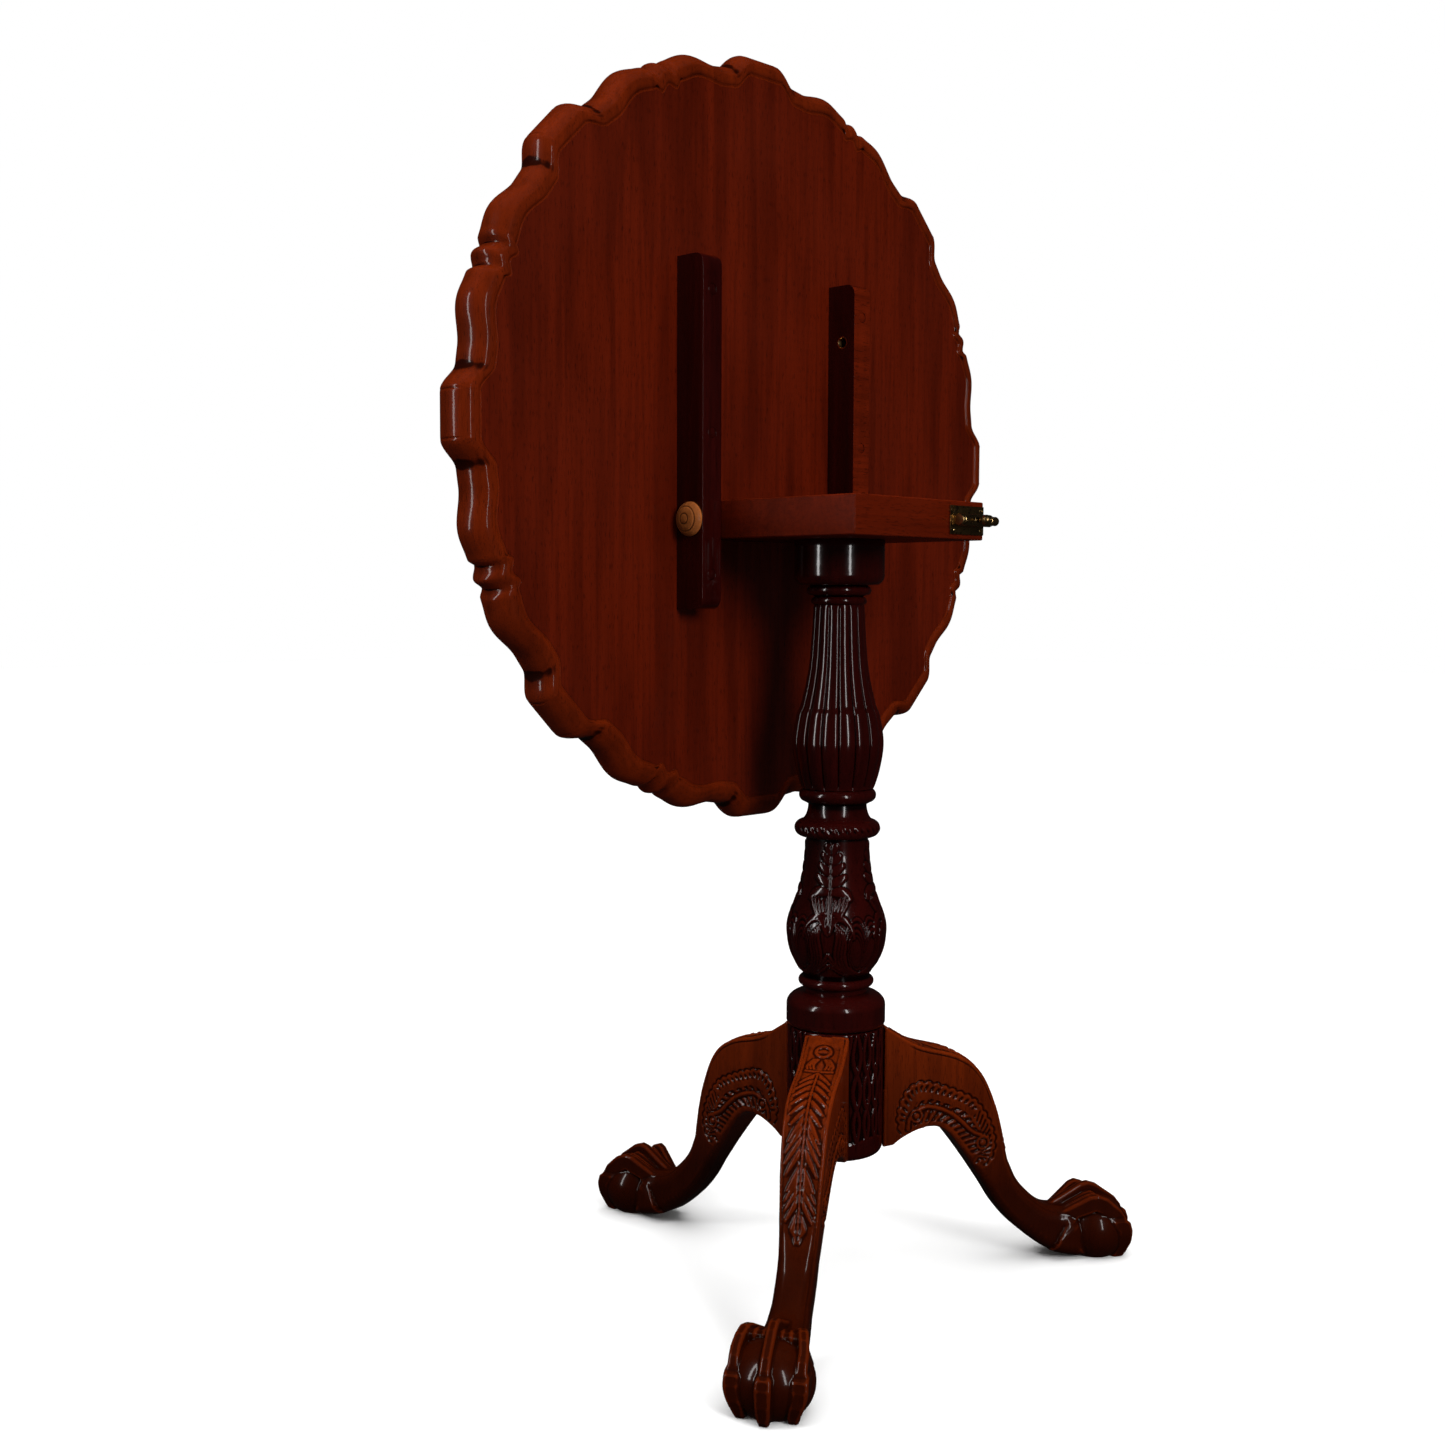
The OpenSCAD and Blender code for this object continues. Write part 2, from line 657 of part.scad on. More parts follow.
module batten(side) {
    r = batten_round;
    color(dark_mahogany) tilted_up() difference() {
        translate([side > 0 ? batten_x : -batten_x - batten_w, 0, 0])
            rotate([90, 0, 90]) linear_extrude(batten_w) polygon(concat(
                [[batten_len / 2, underside_z], [-batten_len / 2, underside_z]],
                [for (a = [180 : 15 : 270])
                    [-batten_len / 2 + r + r * cos(a), batten_low_z + r + r * sin(a)]],
                [for (a = [270 : 15 : 360])
                    [batten_len / 2 - r + r * cos(a), batten_low_z + r + r * sin(a)]]));
        translate([side * (batten_x - overcut), pivot_y, pivot_z]) rotate([0, side * 90, 0])
            cylinder(r = pin_r, h = batten_w + 2 * overcut);
        batten_screw_places() wood_screw(screw_r, batten_screw_len, screw_head_r);
        plug_places() translate([0, 0, -overcut]) cylinder(r = plug_r, h = screw_sink + overcut);
        if (side > 0) translate([batten_x - eps, keeper_y, pivot_z]) rotate([0, 90, 0])
            cylinder(r = keeper_r + keeper_wall, h = keeper_depth + eps);
    }
}

module batten_left() { batten(-1); }
module batten_right() { batten(1); }

module hinge_pin(side) {
    color(pale_wood) tilted_up() translate([side * (block_w / 2 - pin_depth), pivot_y, pivot_z])
        rotate([0, side * 90, 0]) rotate_extrude() polygon(concat(
            [[0, 0], [pin_r, 0], [pin_r, pin_head_x], [pin_head_r, pin_head_x]],
            [for (a = [15 : 15 : 90]) [pin_head_r * cos(a), pin_head_x + pin_head_h * sin(a)]]));
}

module hinge_pin_left() { hinge_pin(-1); }
module hinge_pin_right() { hinge_pin(1); }

module batten_screws() {
    color(steel_grey) tilted_up() batten_screw_places()
        wood_screw(screw_r, batten_screw_len, screw_head_r);
}

module batten_plugs() {
    color(dark_mahogany) tilted_up() plug_places() cylinder(r = plug_r, h = plug_t);
}

module keeper_ring() {
    color(brass_yellow) tilted_up() translate([batten_x, keeper_y, pivot_z])
        rotate([0, 90, 0]) difference() {
            cylinder(r = keeper_r + keeper_wall, h = keeper_depth);
            translate([0, 0, -eps]) cylinder(r = keeper_r, h = keeper_depth + 2 * eps);
        }
}

pillar_block();
pillar();
tenon_wedge();
leg_front_left();
leg_front_right();
leg_rear();
base_plate();
base_plate_screws();
latch_plate();
latch_barrel();
latch_plate_screws();
latch_bolt();
latch_knob();
latch_spring();
top_panel();
pie_crust_rim();
batten_left();
batten_right();
hinge_pin_left();
hinge_pin_right();
batten_screws();
batten_plugs();
keeper_ring();
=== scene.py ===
"""Looks of a tilt-top tripod table: mahogany boards, carving, brass and iron.

Lengths inside the makers are millimetres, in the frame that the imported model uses:
the origin is on the floor under the pillar, +Z is up and +X runs along the hinge.
"""

import json
import math

import bmesh
import bpy
import numpy as np
from mathutils import Matrix, Vector


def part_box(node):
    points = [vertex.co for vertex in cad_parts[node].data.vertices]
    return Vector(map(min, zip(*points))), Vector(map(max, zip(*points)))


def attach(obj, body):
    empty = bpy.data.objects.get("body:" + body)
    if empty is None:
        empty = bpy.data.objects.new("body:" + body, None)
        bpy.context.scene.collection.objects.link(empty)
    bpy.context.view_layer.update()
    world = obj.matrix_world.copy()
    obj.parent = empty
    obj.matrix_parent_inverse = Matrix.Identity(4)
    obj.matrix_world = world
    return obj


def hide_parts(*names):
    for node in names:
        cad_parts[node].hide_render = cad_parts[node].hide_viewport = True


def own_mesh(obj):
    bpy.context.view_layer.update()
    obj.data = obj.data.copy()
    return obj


bl_info = {
    "name": "Tilt-top tripod table",
    "version": (1, 0, 0),
    "blender": (4, 5, 0),
    "location": "View3D > Sidebar > Tripod table",
    "description": "Builds a pie-crust tilt-top table with a carved tripod base",
    "category": "Object",
}

MM = 0.001
TAU = 2 * math.pi

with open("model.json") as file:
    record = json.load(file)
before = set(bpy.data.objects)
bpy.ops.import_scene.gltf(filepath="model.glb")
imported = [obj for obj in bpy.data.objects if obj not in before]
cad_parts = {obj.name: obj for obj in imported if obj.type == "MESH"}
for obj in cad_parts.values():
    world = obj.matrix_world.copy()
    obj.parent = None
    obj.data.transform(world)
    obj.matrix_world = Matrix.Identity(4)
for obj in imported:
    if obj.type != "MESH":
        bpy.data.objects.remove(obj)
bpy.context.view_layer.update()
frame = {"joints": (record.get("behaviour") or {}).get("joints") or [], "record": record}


# ------------------------------------------------------------------ places from the frame


def node_box(node):
    """Lowest and highest corner of a CAD node, in millimetres."""
    low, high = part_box(node)
    return np.array(low) / MM, np.array(high) / MM


class Places:
    """Where the table's members lie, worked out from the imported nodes."""

    block_low, block_high = node_box("pillar_block")
    panel_low, panel_high = node_box("top_panel")
    rim_low, rim_high = node_box("pie_crust_rim")
    batten_low, batten_high = node_box("batten_right")
    pin_low, pin_high = node_box("hinge_pin_right")
    pillar_low, pillar_high = node_box("pillar")
    plate_low, plate_high = node_box("latch_plate")
    barrel_low, barrel_high = node_box("latch_barrel")
    bolt_low, bolt_high = node_box("latch_bolt")
    knob_low, knob_high = node_box("latch_knob")
    spring_low, spring_high = node_box("latch_spring")
    keeper_low, keeper_high = node_box("keeper_ring")
    iron_low, iron_high = node_box("base_plate")
    wedge_low, wedge_high = node_box("tenon_wedge")
    tenon_r = (wedge_high[1] - wedge_low[1]) / 2
    leg_low, leg_high = node_box("leg_rear")

    block_t = block_high[2] - block_low[2]
    pivot_y = block_high[1] - block_t / 2
    pivot_z = block_high[2] - block_t / 2
    top_centre_z = (rim_low[2] + rim_high[2]) / 2
    panel_t = panel_high[1] - panel_low[1]
    top_r = (rim_high[2] - rim_low[2]) / 2
    rim_w = top_r - (panel_high[2] - panel_low[2]) / 2
    rim_drop = panel_low[1] - rim_low[1]
    rim_rise = rim_high[1] - panel_high[1]


P = Places


def stood_up(points):
    """Points drawn for the top lying closed, centred on Z with its underside on z = 0,
    turned to where it stands upright."""
    x, y, z = points.T
    return np.column_stack([x, P.panel_low[1] + z, P.top_centre_z - y])


# ------------------------------------------------------------------ curves and number helpers


def smooth_curve(points, steps):
    """Smooth curve through the points, with steps pieces between neighbours."""
    p = np.asarray(points, float)
    t = (np.arange(steps) / steps)[:, None]
    out = []
    for i in range(len(p) - 1):
        a, b, c, d = p[max(i - 1, 0)], p[i], p[i + 1], p[min(i + 2, len(p) - 1)]
        out.append(0.5 * (2 * b + (c - a) * t + (2 * a - 5 * b + 4 * c - d) * t**2
                          + (3 * b - a - 3 * c + d) * t**3))
    return np.vstack(out + [p[-1:]])


def lengths_along(path):
    """Length along a path at each of its points."""
    return np.concatenate([[0], np.cumsum(np.linalg.norm(np.diff(path, axis=0), axis=1))])


def evenly(path, spacing):
    """The same path with points about spacing apart."""
    s = lengths_along(path)
    count = max(2, int(round(s[-1] / spacing)) + 1)
    at = np.linspace(0, s[-1], count)
    return np.column_stack([np.interp(at, s, path[:, k]) for k in range(path.shape[1])])


def rise(low, high, x):
    """0 below low, 1 above high and a smooth step between."""
    t = np.clip((x - low) / (high - low), 0, 1)
    return t * t * (3 - 2 * t)


def hump(x, width):
    """Bell of height 1 round x = 0."""
    return np.exp(-((x / width) ** 2))


def stroke(u, v, points, width, height, blunt=0.35, vein=0.0):
    """Height of a carved leaflet: a rounded ridge along a smooth path, narrower at its ends."""
    path = smooth_curve(points, 6)
    s = lengths_along(path)
    nearest = np.full(u.shape, 1e9)
    along = np.zeros(u.shape)
    for k in range(len(path) - 1):
        (x0, y0), (x1, y1) = path[k], path[k + 1]
        dx, dy = x1 - x0, y1 - y0
        span = dx * dx + dy * dy + 1e-12
        t = np.clip(((u - x0) * dx + (v - y0) * dy) / span, 0, 1)
        away = np.hypot(u - x0 - t * dx, v - y0 - t * dy)
        closer = away < nearest
        nearest = np.where(closer, away, nearest)
        along = np.where(closer, (s[k] + t * (s[k + 1] - s[k])) / s[-1], along)
    half = width * (blunt + (1 - blunt) * np.sin(math.pi * np.clip(along, 0.02, 0.98) ** 0.8))
    share = np.clip(1 - (nearest / half) ** 2, 0, 1)
    return height * np.sqrt(share) * (1 - vein * hump(nearest, 0.3 * width) * (share > 0))


# ------------------------------------------------------------------ mesh helpers


def mesh_from_quads(name, points, quads):
    """Mesh of four-sided faces from arrays, with its points given in millimetres."""
    mesh = bpy.data.meshes.new(name)
    mesh.vertices.add(len(points))
    mesh.vertices.foreach_set("co", (np.asarray(points) * MM).astype(np.float32).ravel())
    mesh.loops.add(quads.size)
    mesh.loops.foreach_set("vertex_index", quads.astype(np.int32).ravel())
    mesh.polygons.add(len(quads))
    mesh.polygons.foreach_set("loop_start", np.arange(0, quads.size, 4, dtype=np.int32))
    mesh.update(calc_edges=True)
    return mesh


def piece_from(name, mesh):
    """Object that shows a mesh."""
    piece = bpy.data.objects.new(name, mesh)
    bpy.context.scene.collection.objects.link(piece)
    return piece


def grid_quads(rows, columns, close_rows=False):
    """Faces of a grid of points; close_rows joins the last row to the first."""
    i = np.arange(rows if close_rows else rows - 1)[:, None]
    j = np.arange(columns - 1)[None, :]
    k = (i + 1) % rows
    return np.stack([i * columns + j, i * columns + j + 1, k * columns + j + 1, k * columns + j],
                    axis=-1).reshape(-1, 4)


def plain_mesh(piece):
    """Turns a piece with modifiers into one plain mesh."""
    graph = bpy.context.evaluated_depsgraph_get()
    made = bpy.data.meshes.new_from_object(piece.evaluated_get(graph), depsgraph=graph)
    piece.modifiers.clear()
    old = piece.data
    piece.data = made
    bpy.data.meshes.remove(old)
    return piece


def shade(piece, crease_deg=35):
    """Smooth shading with a crisp line wherever faces meet at more than crease_deg."""
    piece.data.shade_smooth()
    piece.data.set_sharp_from_angle(angle=math.radians(crease_deg))
    return piece


def wrap(piece):
    """Merges doubles and turns every face outwards."""
    work = bmesh.new()
    work.from_mesh(piece.data)
    bmesh.ops.remove_doubles(work, verts=work.verts, dist=0.004 * MM)
    bmesh.ops.recalc_face_normals(work, faces=work.faces)
    work.to_mesh(piece.data)
    work.free()
    return piece


def rectangle(u0, v0, u1, v1):
    """Corners of a rectangle, in the order that slab takes them."""
    return [(u0, v0), (u1, v0), (u1, v1), (u0, v1)]


def slab(name, outline, low, high, axis="x"):
    """Straight-sided solid: a closed outline carried from low to high along an axis.
    The outline's two numbers lie on the other two axes, in x, y, z order."""
    outline = np.asarray(outline, float)
    place = {"x": (1, 2, 0), "y": (0, 2, 1), "z": (0, 1, 2)}[axis]
    points = np.zeros((2 * len(outline), 3))
    for end, value in enumerate((low, high)):
        rows = slice(end * len(outline), (end + 1) * len(outline))
        points[rows, place[0]] = outline[:, 0]
        points[rows, place[1]] = outline[:, 1]
        points[rows, place[2]] = value
    n = len(outline)
    sides = [(i, (i + 1) % n, n + (i + 1) % n, n + i) for i in range(n)]
    mesh = bpy.data.meshes.new(name)
    mesh.from_pydata((points * MM).tolist(), [], sides + [tuple(range(n)), tuple(range(n, 2 * n))])
    return wrap(piece_from(name, mesh))


def lathe(name, profile, centre, axis="z", sides=96):
    """Turned solid: (radius, distance along) rows about an axis through centre."""
    profile = np.asarray(profile, float)
    turn = np.linspace(0, TAU, sides + 1)
    r, along = profile[:, :1], profile[:, 1:]
    a = r * np.cos(turn)
    b = r * np.sin(turn)
    c = along + 0 * turn
    order = {"x": (c, a, b), "y": (b, c, a), "z": (a, b, c)}[axis]
    points = np.stack(order, axis=-1).reshape(-1, 3) + np.asarray(centre, float)
    mesh = mesh_from_quads(name, points, grid_quads(len(profile), sides + 1))
    return wrap(piece_from(name, mesh))


def bevelled(piece, width, segments=3, crease_deg=30):
    """Rounds a piece's edges."""
    bevel = piece.modifiers.new("Bevel", "BEVEL")
    bevel.width = width * MM
    bevel.segments = segments
    bevel.limit_method = "ANGLE"
    bevel.angle_limit = math.radians(crease_deg)
    return plain_mesh(piece)


def cut_away(piece, *cutters):
    """Takes the cutters' shapes out of a piece and removes the cutters."""
    for cutter in cutters:
        cut = piece.modifiers.new("Cut", "BOOLEAN")
        cut.object = cutter
        cut.operation = "DIFFERENCE"
        cut.solver = "EXACT"
    plain_mesh(piece)
    for cutter in cutters:
        mesh = cutter.data
        bpy.data.objects.remove(cutter)
        bpy.data.meshes.remove(mesh)
    return piece


def added(piece, *others):
    """Joins other solids' shells to a piece as one mesh."""
    work = bmesh.new()
    work.from_mesh(piece.data)
    for other in others:
        work.from_mesh(other.data)
        mesh = other.data
        bpy.data.objects.remove(other)
        bpy.data.meshes.remove(mesh)
    work.to_mesh(piece.data)
    work.free()
    return piece


def mark_relief(piece, passes, full):
    """Stores how far each point stands out of its surroundings, from -1 to 1 at full
    millimetres, as the attribute that the finishes read: in the wood, painted shade with glaze
    in the hollows and a painted highlight with rubbing on the ridges; in the metal, tarnish in the
    hollows."""
    mesh = piece.data
    count = len(mesh.vertices)
    at = np.zeros(count * 3, np.float32)
    mesh.vertices.foreach_get("co", at)
    at = at.reshape(-1, 3).astype(float)
    ends = np.zeros(len(mesh.edges) * 2, np.int32)
    mesh.edges.foreach_get("vertices", ends)
    a, b = ends.reshape(-1, 2).T
    joined = np.maximum(np.bincount(a, minlength=count) + np.bincount(b, minlength=count), 1)
    soft = at.copy()
    for _ in range(passes):
        for k in range(3):
            total = (np.bincount(a, soft[b, k], minlength=count)
                     + np.bincount(b, soft[a, k], minlength=count))
            soft[:, k] = 0.4 * soft[:, k] + 0.6 * total / joined
    normal = np.zeros(count * 3, np.float32)
    mesh.vertices.foreach_get("normal", normal)
    out = ((at - soft) * normal.reshape(-1, 3)).sum(axis=1) / MM / full
    kept = mesh.attributes.new("relief", "FLOAT", "POINT")
    kept.data.foreach_set("value", np.clip(out, -1, 1).astype(np.float32))
    return piece


def finish_piece(piece, material, slot, *nodes):
    """Gives a piece its material and its body, and hides the CAD nodes that it stands for."""
    if not len(piece.data.polygons):
        raise RuntimeError(piece.name + " came out empty")
    piece.data.materials.clear()
    piece.data.materials.append(material)
    bodies = frame["record"]["behaviour"]["bodies"]
    body = next(name for name, members in bodies.items() if nodes[0] in members)
    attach(piece, body)
    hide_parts(*nodes)
    return piece


# ------------------------------------------------------------------ node helpers


def add(tree, kind, sockets=None, **settings):
    """New node: a socket given another node's output is linked, any other value is set."""
    node = tree.nodes.new(kind)
    for key, value in settings.items():
        setattr(node, key, value)
    for key, value in (sockets or {}).items():
        if isinstance(value, bpy.types.NodeSocket):
            tree.links.new(value, node.inputs[key])
        else:
            node.inputs[key].default_value = value
    return node


def new_tree(name, inputs):
    """Geometry Nodes tree with named inputs, its Group Input node and its interface's sockets."""
    tree = bpy.data.node_groups.new(name, "GeometryNodeTree")
    made = {}
    for label, kind in inputs:
        made[label] = tree.interface.new_socket(name=label, in_out="INPUT", socket_type=kind)
    tree.interface.new_socket(name="Geometry", in_out="OUTPUT", socket_type="NodeSocketGeometry")
    return tree, tree.nodes.new("NodeGroupInput"), made


def close_tree(tree, geometry, material):
    """Ends a tree in Realize Instances and Set Material."""
    real = add(tree, "GeometryNodeRealizeInstances", {"Geometry": geometry})
    dressed = add(tree, "GeometryNodeSetMaterial",
                  {"Geometry": real.outputs[0], "Material": material})
    out = tree.nodes.new("NodeGroupOutput")
    tree.links.new(dressed.outputs[0], out.inputs[0])


def run_tree(piece, tree, sockets, values):
    """Runs a tree on a piece with its inputs set by identifier, and keeps the plain mesh."""
    modifier = piece.modifiers.new(tree.name, "NODES")
    modifier.node_group = tree
    for label, value in values.items():
        modifier[sockets[label].identifier] = value
    return plain_mesh(piece)


def repeat_round_tree():
    """Repeats a wedge-shaped unit round Z and welds the seams between the copies."""
    tree, given, made = new_tree("Repeat round", [
        ("Geometry", "NodeSocketGeometry"), ("Count", "NodeSocketInt"),
        ("Weld distance", "NodeSocketFloat"), ("Material", "NodeSocketMaterial")])
    spots = add(tree, "GeometryNodeMeshLine",
                {"Count": given.outputs["Count"], "Offset": (0, 0, 0)})
    step = add(tree, "ShaderNodeMath", {0: TAU, 1: given.outputs["Count"]}, operation="DIVIDE")
    index = add(tree, "GeometryNodeInputIndex")
    angle = add(tree, "ShaderNodeMath", {0: index.outputs[0], 1: step.outputs[0]},
                operation="MULTIPLY")
    euler = add(tree, "ShaderNodeCombineXYZ", {"Z": angle.outputs[0]})
    turn = add(tree, "FunctionNodeEulerToRotation", {0: euler.outputs[0]})
    copies = add(tree, "GeometryNodeInstanceOnPoints",
                 {"Points": spots.outputs[0], "Instance": given.outputs["Geometry"],
                  "Rotation": turn.outputs[0]})
    real = add(tree, "GeometryNodeRealizeInstances", {"Geometry": copies.outputs[0]})
    welded = add(tree, "GeometryNodeMergeByDistance",
                 {"Geometry": real.outputs[0], "Distance": given.outputs["Weld distance"]})
    close_tree(tree, welded.outputs[0], given.outputs["Material"])
    return tree, made


def copies_tree():
    """Puts a copy of an object on every point of the piece, all facing the same way."""
    tree, given, made = new_tree("Copies on points", [
        ("Geometry", "NodeSocketGeometry"), ("Copied", "NodeSocketObject"),
        ("Turn step", "NodeSocketFloat"), ("Axis", "NodeSocketVector"),
        ("Material", "NodeSocketMaterial")])
    seen = add(tree, "GeometryNodeObjectInfo", {"Object": given.outputs["Copied"]})
    index = add(tree, "GeometryNodeInputIndex")
    angle = add(tree, "ShaderNodeMath",
                {0: index.outputs[0], 1: given.outputs["Turn step"]}, operation="MULTIPLY")
    turn = add(tree, "FunctionNodeAxisAngleToRotation",
               {"Axis": given.outputs["Axis"], "Angle": angle.outputs[0]})
    spots = add(tree, "GeometryNodeMeshToPoints", {"Mesh": given.outputs["Geometry"]})
    copies = add(tree, "GeometryNodeInstanceOnPoints",
                 {"Points": spots.outputs[0], "Instance": seen.outputs["Geometry"],
                  "Rotation": turn.outputs[0]})
    close_tree(tree, copies.outputs[0], given.outputs["Material"])
    return tree, made


def coil_tree():
    """Round wire wound in a coil up Z."""
    tree, given, made = new_tree("Wound coil", [
        ("Geometry", "NodeSocketGeometry"), ("Turns", "NodeSocketFloat"),
        ("Coil radius", "NodeSocketFloat"), ("Coil length", "NodeSocketFloat"),
        ("Wire radius", "NodeSocketFloat"), ("Material", "NodeSocketMaterial")])
    spiral = add(tree, "GeometryNodeCurveSpiral",
                 {"Resolution": 28, "Rotations": given.outputs["Turns"],
                  "Start Radius": given.outputs["Coil radius"],
                  "End Radius": given.outputs["Coil radius"],
                  "Height": given.outputs["Coil length"]})
    wire = add(tree, "GeometryNodeCurvePrimitiveCircle",
               {"Resolution": 10, "Radius": given.outputs["Wire radius"]})
    swept = add(tree, "GeometryNodeCurveToMesh",
                {"Curve": spiral.outputs[0], "Profile Curve": wire.outputs[0], "Fill Caps": True})
    close_tree(tree, swept.outputs[0], given.outputs["Material"])
    return tree, made


def repeat_round(name, mesh, count, material):
    """Piece made of count copies of a unit mesh round Z."""
    tree, sockets = repeat_round_tree()
    return run_tree(piece_from(name, mesh), tree, sockets,
                    {"Count": count, "Weld distance": 0.01 * MM, "Material": material})


def copies_at(name, places, unit, material, turn_step=0.0, axis=(0, 0, 1)):
    """One piece with a copy of the unit at each place; the unit itself is removed."""
    mesh = bpy.data.meshes.new(name)
    mesh.from_pydata([tuple(np.array(p) * MM) for p in places], [], [])
    tree, sockets = copies_tree()
    piece = run_tree(piece_from(name, mesh), tree, sockets,
                     {"Copied": unit, "Turn step": turn_step, "Axis": axis, "Material": material})
    unit_mesh = unit.data
    bpy.data.objects.remove(unit)
    bpy.data.meshes.remove(unit_mesh)
    return piece


# ------------------------------------------------------------------ finishes


def clean_material(name):
    """Material with only its shader and output, and its tree."""
    material = bpy.data.materials.new(name)
    material.use_nodes = True
    tree = material.node_tree
    tree.nodes.clear()
    shader = tree.nodes.new("ShaderNodeBsdfPrincipled")
    output = tree.nodes.new("ShaderNodeOutputMaterial")
    tree.links.new(shader.outputs[0], output.inputs["Surface"])
    return material, tree, shader


def blend_colours(tree, share, first, second, mode="MIX"):
    """Output of a colour mix; share, first and second are sockets or plain values."""
    node = add(tree, "ShaderNodeMix", {0: share, 6: first, 7: second},
               data_type="RGBA", blend_type=mode)
    return node.outputs[2]


def step_of(tree, value, low, high, top=1.0):
    """Smooth step of a value from 0 at low to top at high."""
    node = add(tree, "ShaderNodeMapRange",
               {"Value": value, "From Min": low, "From Max": high, "To Min": 0.0, "To Max": top},
               interpolation_type="SMOOTHSTEP")
    return node.outputs[0]


def noise(tree, place, scale, detail=2.0, distortion=0.0):
    """Grey noise read at a place."""
    node = add(tree, "ShaderNodeTexNoise",
               {"Vector": place, "Scale": scale, "Detail": detail, "Distortion": distortion})
    return node.outputs[0]


def stretched(tree, place, along, share):
    """Place squeezed along one axis, so that a pattern read there runs that way."""
    scale = [1.0, 1.0, 1.0]
    scale["xyz".index(along)] = share
    return add(tree, "ShaderNodeMapping", {"Vector": place, "Scale": scale}).outputs[0]


def mahogany(name, light, dark, along="z", gloss=0.24, figure=0.55, sheen_and_wear=0.35, polish=0.55,
             shine=0.06, low_painted_shade=0.0):
    """Polished mahogany: ribbon figure, fine fibres, short pores, painted shade with dark glaze
    in the hollows, a painted highlight with rubbed edges on the ridges, and painted shade
    towards the floor when asked for, under a clear polish."""
    material, tree, shader = clean_material(name)
    place = add(tree, "ShaderNodeTexCoord").outputs["Object"]
    ribbon = noise(tree, stretched(tree, place, along, 0.10), 34.0, 3.0, 0.6)
    streak = noise(tree, stretched(tree, place, along, 0.035), 260.0, 4.0)
    fibre = noise(tree, stretched(tree, place, along, 0.03), 1500.0, 2.0)
    pore = noise(tree, stretched(tree, place, along, 0.09), 1300.0, 1.0)
    cloud = noise(tree, place, 9.0, 2.0)
    base = blend_colours(tree, step_of(tree, ribbon, 0.36, 0.66, figure), light, dark)
    base = blend_colours(tree, step_of(tree, streak, 0.42, 0.72, 0.55), base, dark)
    base = blend_colours(tree, step_of(tree, fibre, 0.5, 0.85, 0.35), base, dark)
    base = blend_colours(tree, step_of(tree, cloud, 0.45, 0.75, 0.30), base, light)
    deep = tuple(0.22 * c for c in dark[:3]) + (1.0,)
    base = blend_colours(tree, step_of(tree, pore, 0.60, 0.68, 0.55), base, deep)
    # painted shade: hollows found from the relief attribute are darkened, with a dark glaze there
    # too
    relief = add(tree, "ShaderNodeAttribute", attribute_name="relief").outputs["Fac"]
    hollow = add(tree, "ShaderNodeMath", {0: relief, 1: -1.0}, operation="MULTIPLY").outputs[0]
    base = blend_colours(tree, step_of(tree, hollow, 0.02, 0.5, 0.95), base, deep)
    # painted shade: below 0.22 m the colour darkens towards the floor, where less light falls
    if low_painted_shade:
        height = add(tree, "ShaderNodeSeparateXYZ", {"Vector": place}).outputs["Z"]
        low = add(tree, "ShaderNodeMapRange",
                  {"Value": height, "From Min": 0.22, "From Max": 0.07, "To Min": 0.0,
                   "To Max": low_painted_shade})
        low_shade_colour = tuple(0.22 * c for c in dark[:3]) + (1.0,)
        base = blend_colours(tree, low.outputs[0], base, low_shade_colour)
    # painted highlight: ridges found from the relief attribute are lightened, along with rubbed
    # edges
    pale = tuple(min(1.0, 1.5 * c) for c in light[:3]) + (1.0,)
    base = blend_colours(tree, step_of(tree, relief, 0.25, 1.0, sheen_and_wear), base, pale)
    tree.links.new(base, shader.inputs["Base Color"])
    dull = add(tree, "ShaderNodeMapRange",
               {"Value": cloud, "From Min": 0.3, "From Max": 0.7,
                "To Min": 0.8 * gloss, "To Max": 1.35 * gloss})
    tree.links.new(dull.outputs[0], shader.inputs["Roughness"])
    shader.inputs["Specular IOR Level"].default_value = shine
    shader.inputs["Coat Weight"].default_value = polish
    shader.inputs["Coat Roughness"].default_value = 0.10
    shader.inputs["Coat IOR"].default_value = 1.45
    wave = noise(tree, place, 55.0, 2.0)
    fine = add(tree, "ShaderNodeBump",
               {"Strength": 0.12, "Distance": 0.0002, "Height": pore})
    broad = add(tree, "ShaderNodeBump",
                {"Strength": 0.25, "Distance": 0.0012, "Height": wave,
                 "Normal": fine.outputs[0]})
    tree.links.new(broad.outputs[0], shader.inputs["Normal"])
    coat = add(tree, "ShaderNodeBump", {"Strength": 0.2, "Distance": 0.0012, "Height": wave})
    tree.links.new(coat.outputs[0], shader.inputs["Coat Normal"])
    return material


